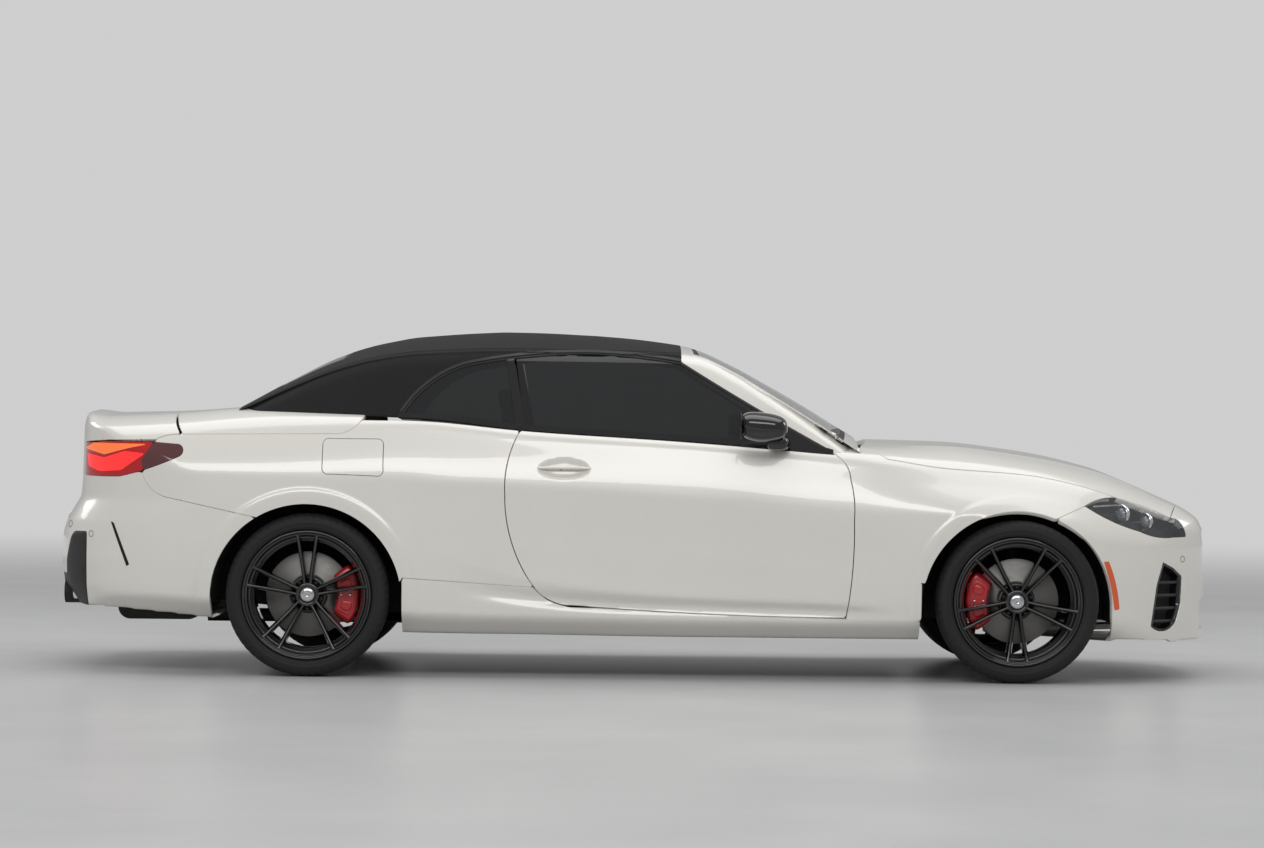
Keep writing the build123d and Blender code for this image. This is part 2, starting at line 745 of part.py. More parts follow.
def cowl(forms):
    """The dark panel between the hood and the windscreen, with the wipers' arms on it."""
    piece = forms["skin_shell"] & block(790, COWL_STEP_X, -700, 700, 800, 1100)
    piece -= plan_prism(*HOOD_OUTLINE, 640, 1100, GAP)
    riser = block(COWL_STEP_X - COWL_T, COWL_STEP_X, -COWL_HALF_W, COWL_HALF_W, COWL_LOW_Z, 1100)
    well = block(COWL_STEP_X - COWL_T, COWL_FRONT_X, -COWL_HALF_W, COWL_HALF_W, COWL_LOW_Z, 1100)
    return biggest(piece + (riser & forms["outer"]) + (well & (Pos(0, 0,
        -COWL_DROP) * forms["skin_shell"])))


# ---------------------------------------------------------------- doors
def door_glass_blank(grow=0.0):
    """The outline of the door's glass, from its slot up to the rail."""
    steps = [
        ((-466, 1120),),
        ((-506, 1300),),
        ((160, 1300),),
        ((160, 1287),),
        ((785, 928),),
        ((768, 880),),
    ]
    outline = side_prism((-438, 880), steps, -1000, -500, grow)
    return outline & side_window(-1000, -500, -GAP + grow)


def quarter_glass_blank(grow=0.0):
    """The right quarter glass with its clearance."""
    outer = greenhouse(GLASS_INSET - grow)
    glass = outer - greenhouse(GLASS_INSET + GLASS + grow)
    steps = [((-452, 975),), ((-524, 1400),), ((-1000, 1400),), ((-1000, 975),)]
    region = side_prism((-452, 975), steps[1:], -1000, -500, grow)
    return glass & region & side_window(-1000, -500, -SEAT_GAP + grow)


def door_glass(thin, grow=0.0):
    """The door's pane, cut from the thin glass shell."""
    return biggest(thin & door_glass_blank(grow))


def hinge_arm(z):
    """A right-hand gooseneck arm from the hinge post to the door's axis, with its eye."""
    half = HINGE_ARM_H / 2
    start = (DOOR_AXIS_X, -DOOR_AXIS_Y)
    bend = (DOOR_AXIS_X + 38, -DOOR_AXIS_Y + 66)
    end = (DOOR_AXIS_X + 90, -DOOR_AXIS_Y + 46)
    arm = None
    for (x0, y0), (x1, y1) in ((start, bend), (bend, end)):
        length = ((x1 - x0) ** 2 + (y1 - y0) ** 2) ** 0.5
        turn = Rot(0, 0, degrees_of(x1 - x0, y1 - y0))
        bar = Pos(x0, y0, z) * turn * Pos(length / 2, 0, 0) * Box(length, 10, HINGE_ARM_H)
        arm = bar if arm is None else arm + bar
    arm += cylinder_z(*bend, 5, z - half, z + half)
    arm += cylinder_z(*start, HINGE_EYE_R, z - half, z + half)
    return arm - cylinder_z(*start, HINGE_PIN_R + PIVOT_GAP, z - half - 1, z + half + 1)


def degrees_of(dx, dy):
    """Angle of a direction in degrees."""
    return Vector(1, 0, 0).get_signed_angle(Vector(dx, dy, 0), Vector(0, 0, 1))


def door(forms, slot):
    """The right door: skin, box and inner panel in one, with the glass slot and hinge pockets."""
    piece = forms["outer"] & side_prism(*DOOR_OUTLINE, -1000, -DOOR_INNER_Y)
    piece -= slot
    half = HINGE_ARM_H / 2 + 8
    for z in DOOR_HINGE_Z:
        skin_inner = forms["hinge_skin"]
        pocket = block(DOOR_AXIS_X - 18, 1000, -1000, -500, z - half, z + half) & skin_inner
        piece -= pocket
        piece += cylinder_z(DOOR_AXIS_X, -DOOR_AXIS_Y, HINGE_PIN_R, z - half - 2, z + half + 2)
    piece += handle()
    return biggest(piece)


def handle():
    """The right door's pull handle, standing off the skin on two feet."""
    mid = sum(HANDLE_X) / 2
    bar = Pos(mid, -908, HANDLE_Z) * Box(HANDLE_X[1] - HANDLE_X[0], 14, 34)
    bar = fillet(bar.edges().filter_by(Axis.Y), 16)
    for x in HANDLE_X:
        inward = 22 if x < mid else -22
        bar += block(x + inward - 14, x + inward + 14, -908, -870, HANDLE_Z - 12, HANDLE_Z + 12)
    return bar


def mirror_unit(forms):
    """The right door mirror: a rounded shell on its foot."""
    shell = Pos(507, -955, 1015) * Box(150, 170, 128)
    shell = fillet(shell.edges(), 45)
    foot = block(540, 600, -905, -822, 925, 975)
    foot = fillet(foot.edges().filter_by(Axis.Y), 12)
    return biggest((shell + foot) - forms["seat"])


# ---------------------------------------------------------------- windscreen and roof
def screen_opening(z0, z1, grow=0.0):
    """The windscreen opening in plan."""
    steps = [
        ((225, 0), (235, 552)),
        ((838, 752),),
        ((872, 0), (838, -752)),
        ((235, -552),),
    ]
    return plan_prism((235, -552), steps, z0, z1, grow)


def windshield_frame(forms, shell):
    """Both pillars, the header and the bar at the foot of the windscreen."""
    piece = shell & block(SOFT_TOP_FRONT + SEAT_GAP, COWL_STEP_X - 4, -900, 900, 880, 1400)
    piece -= both(side_window(-1000, -400, 0.0))
    piece -= screen_opening(800, 1450)
    piece -= forms["seat"]
    glass = (forms["green_over"] - forms["green_glass_back"]) & screen_opening(800, 1450,
        GLASS_LAP + SEAT_GAP)
    return biggest(piece - glass)


def windshield(forms):
    """The curved windscreen, lapping its frame."""
    glass = (forms["green"] - forms["green_glass"]) & screen_opening(800, 1450, GLASS_LAP)
    return biggest(glass - forms["seat"])


def rear_window_cut(grow=0.0):
    """The rear window's opening in the soft top."""
    x0, x1 = REAR_WINDOW_X
    window = block(x0 - grow, x1 + grow, -REAR_WINDOW_HALF_W - grow, REAR_WINDOW_HALF_W + grow,
        1100, 1400)
    return fillet(window.edges().filter_by(Axis.Z), 50 + grow)


def soft_top(forms):
    """The raised soft top as one closed skin with its side and rear windows open."""
    piece = (forms["green"] - forms["green_cloth"]) & block(-1700, SOFT_TOP_FRONT, -900, 900, 900, 1500)
    piece -= both(side_window(-1000, -400, 0.0))
    piece -= rear_window_cut()
    piece -= forms["seat"]
    return biggest(piece)


def rear_window(forms):
    """The glass rear window, flush in the soft top."""
    band = forms["green_glass"] - forms["green_rear_back"]
    return biggest(band & rear_window_cut(-SEAT_GAP))


# ---------------------------------------------------------------- structure
def body_tub(forms):
    """Floor, tunnel, rockers, bulkheads, wheel houses and rails as one welded structure."""
    x_rear = R - 6 + ARCH_R + LINER
    floor_top = FLOOR_Z + FLOOR_T
    front = block(x_rear, FIREWALL_X + FIREWALL_T, -TUB_HALF_W, TUB_HALF_W, FLOOR_Z, floor_top)
    front += block(BULKHEAD_X, x_rear + 1, -ARCH_DEPTH + LINER, ARCH_DEPTH - LINER, FLOOR_Z, floor_top)
    front += both(block(-400, FIREWALL_X, -ROCKER_HALF_W, -TUB_HALF_W, FLOOR_Z + 36, ROCKER_TOP))
    front += block(BULKHEAD_X, FIREWALL_X, -TUNNEL_HALF_W, TUNNEL_HALF_W, floor_top, TUNNEL_TOP)
    front += block(FIREWALL_X, FIREWALL_X + FIREWALL_T, -755, 755, floor_top, FIREWALL_TOP)
    front += both(block(FIREWALL_X - 17, FIREWALL_X + FIREWALL_T, -1000, -700, floor_top + 60,
        FIREWALL_TOP))
    front += both(wheel_house(F))
    front += both(block(FIREWALL_X + 20, 2238, -ARCH_DEPTH, -ARCH_DEPTH + 60, RAIL_BOTTOM_FRONT, 400))
    front += block(2190, 2238, -520, 520, 350, 400)
    front &= forms["behind_skin"]
    front -= block(1685, 2500, -1000, 1000, 0, 1000) - forms["behind_side"]
    front -= both(block(F - 45, F + 45, -ARCH_DEPTH - 20, -ARCH_DEPTH + 65, 430, 500))
    front -= block(BULKHEAD_X - 10, FIREWALL_X + 100, -TUNNEL_HALF_W + 25, TUNNEL_HALF_W - 25, 0,
        TUNNEL_TOP - 25)
    rear = block(-2300, BULKHEAD_X + 20, -ARCH_DEPTH + LINER, ARCH_DEPTH - LINER, BOOT_FLOOR_Z,
        BOOT_FLOOR_Z + 20)
    rear += block(BULKHEAD_X, BULKHEAD_X + 20, -ARCH_DEPTH + LINER, ARCH_DEPTH - LINER, FLOOR_Z, 960)
    rear += both(wheel_house(R - 6))
    rear += both(block(-2250, BULKHEAD_X + 20, -ARCH_DEPTH + LINER, -ARCH_DEPTH + 60,
        RAIL_BOTTOM_REAR, BOOT_FLOOR_Z))
    rear += both(block(BULKHEAD_X, BULKHEAD_X + 20, -760, -ARCH_DEPTH + LINER, 712, 960))
    rear += block(-1900, -1866, -800, 800, 955, 985)
    rear += both(block(-1900, -1866, -ARCH_DEPTH + LINER, -ARCH_DEPTH + 60, BOOT_FLOOR_Z, 985))
    rear += block(-2262, -2236, -540, 540, BOOT_FLOOR_Z - 10, TRUNK_LOW_Z - 20)
    rear &= forms["behind_side"]
    rear -= both(block(R - 45, R + 45, -ARCH_DEPTH - 20, -ARCH_DEPTH + 65, 200, 360))
    tub = front + rear
    tub += both(block(*JACK_PAD_X, *JACK_PAD_Y, JACK_PAD_Z, FLOOR_Z + 37))
    for z in DOOR_HINGE_Z:
        tub += both(hinge_arm(z))
    tub += both(hood_hinge_arm()) + both(trunk_hinge_arm())
    return biggest(tub)


def wheel_house(x):
    """The right-hand liner over a wheel and its inner wall."""
    liner = arch(x, -930, -ARCH_DEPTH + LINER, LINER) - arch(x, -1000, -ARCH_DEPTH, 0.0)
    return liner & block(x - 450, x + 450, -930, 0, 240, 1000)


def hood_hinge_arm():
    """The body's hinge arms for the hood."""
    y, half = -HOOD_HINGE_Y, LID_EYE_W / 2
    arm = block(FIREWALL_X + 10, HOOD_AXIS_X + LID_EYE_R, y - half, y + half, 860, HOOD_AXIS_Z)
    arm += cylinder_y(HOOD_AXIS_X, HOOD_AXIS_Z, LID_EYE_R, y - half, y + half)
    arm -= block(FIREWALL_X, HOOD_AXIS_X - LID_EYE_R, y - 20, y + 20, 890, 1000)
    return arm - cylinder_y(HOOD_AXIS_X, HOOD_AXIS_Z, LID_PIN_R + PIVOT_GAP, y - 20, y + 20)


def trunk_hinge_arm():
    """The boot lid's gooseneck hinge arms."""
    y, half = -TRUNK_HINGE_Y, LID_EYE_W / 2
    arm = block(TRUNK_AXIS_X - LID_EYE_R, TRUNK_AXIS_X + LID_EYE_R, y - half, y + half, 970,
        TRUNK_AXIS_Z)
    arm += cylinder_y(TRUNK_AXIS_X, TRUNK_AXIS_Z, LID_EYE_R, y - half, y + half)
    return arm - cylinder_y(TRUNK_AXIS_X, TRUNK_AXIS_Z, LID_PIN_R + PIVOT_GAP, y - 20, y + 20)


# ---------------------------------------------------------------- wheels and what carries them


def revolve_profile(points):
    """A profile of (across, radius) points turned round the wheel's axis, which is Y."""
    face = make_face(Polyline([(r, s, 0) for s, r in points], close=True))
    return revolve(face, Axis.Y)


def rim(width, first_angle):
    """A wheel with its brake disc, outboard side at +Y, on the origin."""
    half = width / 2 - 4
    barrel = revolve_profile(
        [
            (-half, RIM_R), (-half + 8, RIM_R), (-half + 10, 243), (-half + 34, 243), (-half + 52, 222),
            (half - 52, 222), (half - 34, 243), (half - 10, 243), (half - 8, RIM_R), (half, RIM_R),
            (half, 250), (half - 8, 235), (half - 34, 235), (half - 54, 214),
            (-half + 54, 214), (-half + 34, 235), (-half + 8, 235), (-half, 250),
        ]
    )
    hub_out = half - 48
    wheel = barrel + cylinder_y(0, 0, 70, HUB_S[0], hub_out)
    wheel += cylinder_y(0, 0, DISC_R, *DISC_S)
    for pair in range(SPOKE_PAIRS):
        for side in (-1, 1):
            angle = first_angle + 360 / SPOKE_PAIRS * pair + side * SPOKE_SPLIT
            wheel += Rot(0, -angle, 0) * spoke(half, hub_out)
    wheel -= cylinder_y(0, 0, STUB_R + PIVOT_GAP, HUB_S[0] - 5, hub_out - 14)
    return biggest(wheel)


def spoke(half, hub_out):
    """One spoke along +X, rising outboard to the rim's lip."""
    foot = Plane(origin=(50, hub_out - 16, 0), x_dir=(0, 1, 0), z_dir=(1, 0, 0)) * Rectangle(30, 30)
    tip = Plane(origin=(240, half - 20, 0), x_dir=(0, 1, 0), z_dir=(1, 0, 0)) * Rectangle(28, 20)
    return loft([foot, tip])


def tyre(width):
    """A tyre on the origin, its axis along Y."""
    half = width / 2
    seat = 243 + SEAT_GAP
    rim_half = half - 4
    flange = rim_half - 10 - SEAT_GAP
    profile = [
        (-flange, seat), (-flange, 262), (-half + 2, 268), (-half, 290), (-half + 8,
            312), (-half + 26, 324),
        (-half + 60, TYRE_R), (half - 60, TYRE_R), (half - 26, 324), (half - 8, 312), (half,
            290), (half - 2, 268),
        (flange, 262), (flange, seat), (flange - 20, seat), (flange - 14, 280), (flange - 24, 306),
        (-flange + 24, 306), (-flange + 14, 280), (-flange + 20, seat),
    ]
    return revolve_profile(profile)


def place_right(shape, x, track):
    """Put a piece built with its outboard side at +Y at a right-hand wheel."""
    return Pos(x, -track / 2, HUB_Z) * Rot(0, 0, 180) * shape


def place_left(shape, x, track):
    """Puts a wheel shape on the left of its axle."""
    return Pos(x, track / 2, HUB_Z) * shape


def caliper(sign):
    """The caliper round the disc's edge, on the side sign of the axle, outboard at +Y."""
    r0, r1 = CALIPER_R
    x0, x1 = sorted((sign * r0, sign * r1))
    body = block(x0, x1, -KINGPIN_IN - 14, 24, -CALIPER_HALF_H, CALIPER_HALF_H)
    body &= cylinder_y(0, 0, 208, -100, 100)
    body -= cylinder_y(0, 0, DISC_R + 6, DISC_S[0] - 4, DISC_S[1] + 4)
    return body


def upright(sign):
    """Hub carrier with its stub axle and caliper, outboard at +Y, on the origin."""
    inner, outer = -KINGPIN_IN - 20, -KINGPIN_IN + 22
    part = cylinder_y(0, 0, 55, inner, outer)
    part += cylinder_y(0, 0, STUB_R, outer - 5, 30)
    x0, x1 = sorted((0, sign * 120))
    part += block(x0, x1, inner + 6, outer - 8, -36, 36) + caliper(sign)
    return part


def knuckle():
    """The right steering knuckle at the origin, outboard at +Y, between its two ball joints."""
    low, high = LOWER_BALL_Z + SEAT_GAP - HUB_Z, UPPER_BALL_Z - SEAT_GAP - HUB_Z
    part = upright(CALIPER_SIDE_FRONT) + block(-24, 24, -KINGPIN_IN - 18, -KINGPIN_IN + 18, low, high)
    for z in (low, high - 30):
        part -= cylinder_z(0, -KINGPIN_IN, BALL_PIN_R + PIVOT_GAP, z - 1, z + 31)
    return biggest(part)


def front_axle():
    """Subframe, lower and upper arms, damper legs and steering rack."""
    y_pin = FRONT_TRACK / 2 - KINGPIN_IN
    part = block(F - 70, F + 70, -455, 455, 205, 285)
    part += both(block(F - 70, F + 70, -455, -ARCH_DEPTH + 62, 285, RAIL_BOTTOM_FRONT - SEAT_GAP))
    part += cylinder_y(F - 120, 256, 24, -340, 340) + block(F - 130, F - 60, -200, 200, 230, 285)
    for sign in (-1, 1):
        lower = hull_bar((F, sign * 360, 214), (F, sign * y_pin, 182), 30, 20)
        upper = hull_bar((F, sign * 410, 470), (F, sign * y_pin, UPPER_BALL_Z + 12), 26, 20)
        tower = block(F - 45, F + 45, sign * 370 - 45 * (sign > 0), sign * 370 + 45 * (sign < 0),
            280, 480)
        tower += block(F - 45, F + 45, min(sign * 370, sign * 440), max(sign * 370, sign * 440),
            440, 490)
        low_pin = cylinder_z(F, sign * y_pin, BALL_PIN_R, 178, LOWER_BALL_Z + 26)
        high_pin = cylinder_z(F, sign * y_pin, BALL_PIN_R, UPPER_BALL_Z - 26, UPPER_BALL_Z + 10)
        damper = cylinder_z(F, sign * 560, 42, 190, HUB_Z - ARCH_DROP + ARCH_R - 4)
        part += lower + upper + tower + low_pin + high_pin
        part += damper
    return part


def hull_bar(start, end, half_w, height):
    """A flat arm between two points, with round eyes."""
    (x0, y0, z0), (x1, y1, z1) = start, end
    a = Plane(origin=(x0, y0, z0), x_dir=(1, 0, 0), z_dir=(0, 1 if y1 > y0 else -1,
        0)) * Rectangle(2 * half_w, height)
    b = Plane(origin=(x1, y1, z1), x_dir=(1, 0, 0), z_dir=(0, 1 if y1 > y0 else -1,
        0)) * Rectangle(36, height)
    return loft([a, b]) + cylinder_z(x1, y1, 18, z1 - height / 2, z1 + height / 2)


def rear_axle():
    """Rear subframe, final drive, drive shafts, arms, hub carriers and calipers."""
    part = block(R - 90, R + 90, -455, 455, 236, 300)
    for x0 in (R - 90, R + 50):
        part += both(block(x0, x0 + 40, -455, -ARCH_DEPTH + 62, 300, RAIL_BOTTOM_REAR - SEAT_GAP))
    part += block(R - 110, R + 130, -110, 110, 236, 340)
    for sign in (-1, 1):
        place = place_right if sign < 0 else place_left
        side = CALIPER_SIDE_REAR * (1 if sign > 0 else -1)
        hub = place(upright(side) + block(-24, 24, -KINGPIN_IN - 20, -KINGPIN_IN + 10, -90, 60), R,
            REAR_TRACK)
        y0, y1 = sorted((sign * 100, sign * (REAR_TRACK / 2 - KINGPIN_IN - 10)))
        part += cylinder_y(R, HUB_Z, 20, y0, y1) + hub
        y0, y1 = sorted((sign * 390, sign * (REAR_TRACK / 2 - KINGPIN_IN)))
        part += block(R - 24, R + 24, y0, y1, 238, 262)
    return part


def exhaust():
    """Front pipe in the tunnel, cross-over, silencer and two round tailpipes."""
    part = block(-2130, -1790, -400, 400, 200, 326)
    part = fillet(part.edges().filter_by(Axis.Y), 50)
    part += Pos(-500, 0, 203) * Rot(0, 90, 0) * Cylinder(28, 2600)
    part += both(cylinder_z(-1950, -300, 8, 320, BOOT_FLOOR_Z - SEAT_GAP))
    for sign in (-1, 1):
        y = sign * TAILPIPE_Y
        y0, y1 = sorted((sign * 390, y + sign * TAILPIPE_R * 0.5))
        part += block(-2110, -2060, y0, y1, 276, 322)
        pipe = Pos(-2210, y, TAILPIPE_Z) * Rot(0, 90, 0) * Cylinder(TAILPIPE_R, 240)
        part += pipe - Pos(-2290, y, TAILPIPE_Z) * Rot(0, 90, 0) * Cylinder(TAILPIPE_R - 4, 200)
    return part


def engine():
    """The engine and gearbox as one plain block on the subframe."""
    block_part = block(1010, 1690, -200, 200, 285 + SEAT_GAP, 770)
    return block_part


# ---------------------------------------------------------------- cabin
def front_seat(y):
    """A front seat: runners, cushion, backrest and head restraint."""
    half = 245
    cushion = side_prism(
        (-330, 300), [((-300, 420),), ((150, 450),), ((235, 440), (245, 380)), ((225,
            300),)], y - half, y + half
    )
    cushion = fillet(cushion.edges().filter_by(Axis.Y), 14)
    back = side_prism(
        (-420, 330), [((-290, 360),), ((-440, 930),), ((-480, 985), (-540, 960)),
            ], y - half + 10, y + half - 10
    )
    head = side_prism((-505, 1010), [((-470, 1160),), ((-540, 1175),), ((-580, 1015),)], y - 130,
        y + 130)
    head = fillet(head.edges().filter_by(Axis.Y), 14)
    seat = cushion + back + head
    for side in (-60, 60):
        seat += Pos(-520, y + side, 985) * Rot(0, -12, 0) * Cylinder(7, 120)
    for side in (-200, 200):
        seat += block(-340, 220, y + side - 20, y + side + 20, FLOOR_Z + FLOOR_T + SEAT_GAP, 302)
    return seat


def rear_seat():
    """The rear bench with its two moulded backs."""
    low = FLOOR_Z + FLOOR_T + SEAT_GAP
    x_back = BULKHEAD_X + 20 + SEAT_GAP
    bench = side_prism(
        (x_back, low), [((x_back, 470),), ((-760, 455),), ((-690, 440), (-685, 380)), ((-700,
            low),)], -440, 440
    )
    bench -= block(x_back - 1, -600, -TUNNEL_HALF_W - SEAT_GAP, TUNNEL_HALF_W + SEAT_GAP, 0,
        TUNNEL_TOP + SEAT_GAP)
    back = side_prism((x_back, 460), [((x_back, 950),), ((x_back + 60, 950),), ((x_back + 150,
        460),)], -445, 445)
    return bench + back


def dashboard():
    """Dashboard with the centre console behind it."""
    top = side_prism(
        (520, 640),
        [((505, 740),), ((540, 840), (680, 876)), ((FIREWALL_X - SEAT_GAP, 880),),
            ((FIREWALL_X - SEAT_GAP, 640),)],
        -750, 750,
    )
    top -= both(block(884, 1000, -1000, -700 + SEAT_GAP, 0, 1000))
    console = side_prism(
        (-350, TUNNEL_TOP + SEAT_GAP), [((-350, 540),), ((300, 520),), ((560, 660),), ((700, 660),),
        ((700, TUNNEL_TOP + SEAT_GAP),)], -105, 105,
    )
    return top + console


def steering_wheel():
    """Steering wheel with three spokes on its column."""
    x, y, z = STEER_WHEEL_AT
    ring = Torus(175, 14) + Cylinder(48, 36)
    ring += Pos(0, -90, 0) * Box(34, 175, 16)
    ring += Pos(90, 0, 0) * Box(175, 34, 16) + Pos(-90, 0, 0) * Box(175, 34, 16)
    lean = Rot(0, -COLUMN_TILT, 0)
    wheel = Pos(x, y, z) * lean * Rot(0, 0, 90) * ring
    column = Pos(x, y, z) * lean * Pos(0, 0, -120) * Cylinder(24, 240)
    return wheel + biggest(column - Pos(-SEAT_GAP, 0, 0) * dashboard())


# ---------------------------------------------------------------- all pieces
def fuel_flap_region(grow=0.0):
    """The fuel flap's outline as a rounded block."""
    x0, x1 = FLAP_X
    z0, z1 = FLAP_Z
    flap = block(x0 - grow, x1 + grow, -1000, -780, z0 - grow, z1 + grow)
    return fillet(flap.edges().filter_by(Axis.Y), 34 + grow)


def flap_axis_point():
    """A point on the fuel flap's hinge axis."""
    return (FLAP_X[1] - 20, -FLAP_AXIS_Y, (FLAP_Z[0] + FLAP_Z[1]) / 2)


def flap_rod(radius, length):
    """A rod on the fuel flap's leaning hinge axis."""
    return Pos(*flap_axis_point()) * Rot(-FLAP_TILT, 0, 0) * Cylinder(radius, length)


def main():
    """Builds every piece and writes one STEP file for each."""
    forms = build_forms()
    forms["lip"] = body_form(6.0)
    forms["hinge_skin"] = body_form(DOOR_SKIN_AT_HINGE)
    forms["lamp"] = body_form(90.0)
    forms["behind_grille"] = body_form(12.0)
    forms["grille_back"] = body_form(50.0)
    forms["flap_back"] = body_form(FLAP_T)
    forms["pocket_back"] = body_form(50.0)
    forms["green"] = greenhouse(0)
    forms["green_over"] = greenhouse(-2)
    forms["green_glass"] = greenhouse(GLASS)
    forms["green_glass_back"] = greenhouse(GLASS + SEAT_GAP)
    forms["green_cloth"] = greenhouse(TOP_CLOTH)
    forms["green_rear_back"] = greenhouse(2 * GLASS)
    forms["green_pillar"] = greenhouse(PILLAR)

    pieces = {}
    thin = greenhouse(GLASS_INSET) - greenhouse(GLASS_INSET + GLASS)
    wide = greenhouse(GLASS_INSET - SEAT_GAP) - greenhouse(GLASS_INSET + GLASS + SEAT_GAP)
    glass = door_glass(thin)
    slot = door_glass(wide, SEAT_GAP)

    quarter_right = quarter(forms)
    pieces["quarter_left"] = mirrored(quarter_right)
    pocket = fuel_flap_region(FLAP_GAP) & forms["outer"]
    pocket -= forms["pocket_back"]
    quarter_right = quarter_right - pocket + (flap_rod(2.0, 400) & pocket)
    pieces["quarter_right"] = biggest(quarter_right)
    flap = (forms["outer"] - forms["flap_back"]) & fuel_flap_region()
    flap += flap_rod(5.0, 60) & (fuel_flap_region() - (fuel_flap_region() - forms["outer"]))
    flap -= flap_rod(2.0 + PIVOT_GAP, 500)
    pieces["fuel_flap"] = biggest(flap)

    right_door = door(forms, slot)
    for name, piece in (
        ("door", right_door),
        ("door_glass", glass),
        ("mirror", mirror_unit(forms)),
        ("fender", fender(forms)),
    ):
        pieces[name + "_right"] = piece
        pieces[name + "_left"] = mirrored(piece)

    for name, piece in (
        ("sills", sill(forms)),
        ("headlamps", headlamp(forms)),
        ("tail_lamps", tail_lamp(forms)),
        ("quarter_glass", biggest(quarter_glass_blank(0.0))),
        ("front_seats", front_seat(-370)),
    ):
        pieces[name] = Compound(children=[piece, mirrored(piece)])

    pieces["front_bumper"] = front_bumper(forms)
    pieces["rear_bumper"] = rear_bumper(forms)
    pieces["grilles"] = grilles(forms)
    pieces["diffuser"] = diffuser(forms)
    pieces["hood"] = hood(forms)
    pieces["trunk_lid"] = trunk_lid(forms)
    pieces["tonneau_cover"] = tonneau_cover(forms)
    pieces["cowl"] = cowl(forms)
    pieces["windshield_frame"] = windshield_frame(forms, forms["green"] - forms["green_pillar"])
    pieces["windshield"] = windshield(forms)
    pieces["soft_top"] = soft_top(forms)
    pieces["rear_window"] = rear_window(forms)
    pieces["body_tub"] = body_tub(forms)
    pieces["engine"] = engine()
    pieces["front_axle"] = front_axle()
    pieces["rear_axle"] = rear_axle()
    pieces["exhaust"] = exhaust()
    pieces["rear_seat"] = rear_seat()
    pieces["dashboard"] = dashboard()
    pieces["steering_wheel"] = steering_wheel()

    knuckle_part = knuckle()
    pieces["knuckle_left"] = place_left(knuckle_part, F, FRONT_TRACK)
    pieces["knuckle_right"] = mirrored(pieces["knuckle_left"])
    for axle, x, track, width, angle in (
        ("front", F, FRONT_TRACK, FRONT_TYRE_W, 270),
        ("rear", R, REAR_TRACK, REAR_TYRE_W, 90),
    ):
        left_rim = place_left(rim(width, angle), x, track)
        left_tyre = place_left(tyre(width), x, track)
        pieces[f"rim_{axle}_left"] = left_rim
        pieces[f"rim_{axle}_right"] = mirrored(left_rim)
        pieces[f"tyre_{axle}_left"] = left_tyre
        pieces[f"tyre_{axle}_right"] = mirrored(left_tyre)

    for name, piece in pieces.items():
        export_step(piece, f"parts/{name}.step")


if __name__ == "__main__":
    main()
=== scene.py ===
"""Two-door convertible with its soft top raised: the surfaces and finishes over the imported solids.

Lengths in the classes and tables are millimetres, in the part's own frame: +X is forward,
+Y is left, +Z is up. Meshes are put in Blender in metres.
"""

from __future__ import annotations

import logging
import math
from dataclasses import dataclass, replace
from enum import Enum
from typing import Callable, Sequence

import bpy
import numpy as np
from mathutils import Euler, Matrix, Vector

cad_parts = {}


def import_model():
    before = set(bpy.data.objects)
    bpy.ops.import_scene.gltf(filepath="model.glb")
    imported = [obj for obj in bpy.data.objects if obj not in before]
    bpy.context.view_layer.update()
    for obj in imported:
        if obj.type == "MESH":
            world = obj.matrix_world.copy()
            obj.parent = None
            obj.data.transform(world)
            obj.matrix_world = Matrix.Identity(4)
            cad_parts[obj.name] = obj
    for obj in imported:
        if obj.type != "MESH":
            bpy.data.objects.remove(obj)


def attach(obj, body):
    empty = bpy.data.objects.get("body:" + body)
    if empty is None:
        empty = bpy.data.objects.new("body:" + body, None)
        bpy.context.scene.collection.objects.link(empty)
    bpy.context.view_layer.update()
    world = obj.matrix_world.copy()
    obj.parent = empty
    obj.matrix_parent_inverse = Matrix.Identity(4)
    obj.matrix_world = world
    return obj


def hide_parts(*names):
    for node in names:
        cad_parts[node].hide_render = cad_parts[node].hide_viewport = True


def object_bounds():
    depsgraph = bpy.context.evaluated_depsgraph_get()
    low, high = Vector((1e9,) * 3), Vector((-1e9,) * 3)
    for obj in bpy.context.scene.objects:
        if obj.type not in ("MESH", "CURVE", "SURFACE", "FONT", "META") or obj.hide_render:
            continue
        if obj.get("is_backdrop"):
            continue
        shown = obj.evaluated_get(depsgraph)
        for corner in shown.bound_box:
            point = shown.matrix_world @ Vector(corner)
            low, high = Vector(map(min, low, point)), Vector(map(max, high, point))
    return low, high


LOG = logging.getLogger("convertible")
MM = 0.001
Array = np.ndarray
Outline = Sequence[tuple]
Pair = tuple[float, float]
Triple = tuple[float, float, float]

# ------------------------------------------------------------------ main places
NOSE_X, TAIL_X = 2385.0, -2385.0
FRONT_X, REAR_X = 1538.0, -1313.0
HUB_Z, TYRE_R = 327.0, 327.0
FRONT_Y, REAR_Y = 795.0, 797.0
FRONT_W, REAR_W = 225.0, 245.0
ARCH_R, ARCH_Z = 385.0, 307.0
REAR_ARCH_X = REAR_X - 6.0
SOFT_TOP_FRONT = 180.0
TAIL_LAMP_IN = 558.0  # inner edge of each tail lamp
HEADLAMP_IN = 592.0  # inner edge of each headlamp
INTAKE_IN = 570.0  # inner edge of each corner intake
UPPER_GRILLE = (430.0, 425.0, 610.0, 45.0)  # half-width, foot, top and corner radius
LOWER_GRILLE = (480.0, 205.0, 330.0, 30.0)
PLATE_WELL = (268.0, 732.0, 868.0, 16.0)
PLATE_X = -2284.5
WELL_X = -2281.0
PIPE_Y, PIPE_Z = 500.0, 318.0
PIPE_HOLE = (76.0, 58.0)  # half-width and half-height of the skirt's opening round each tailpipe


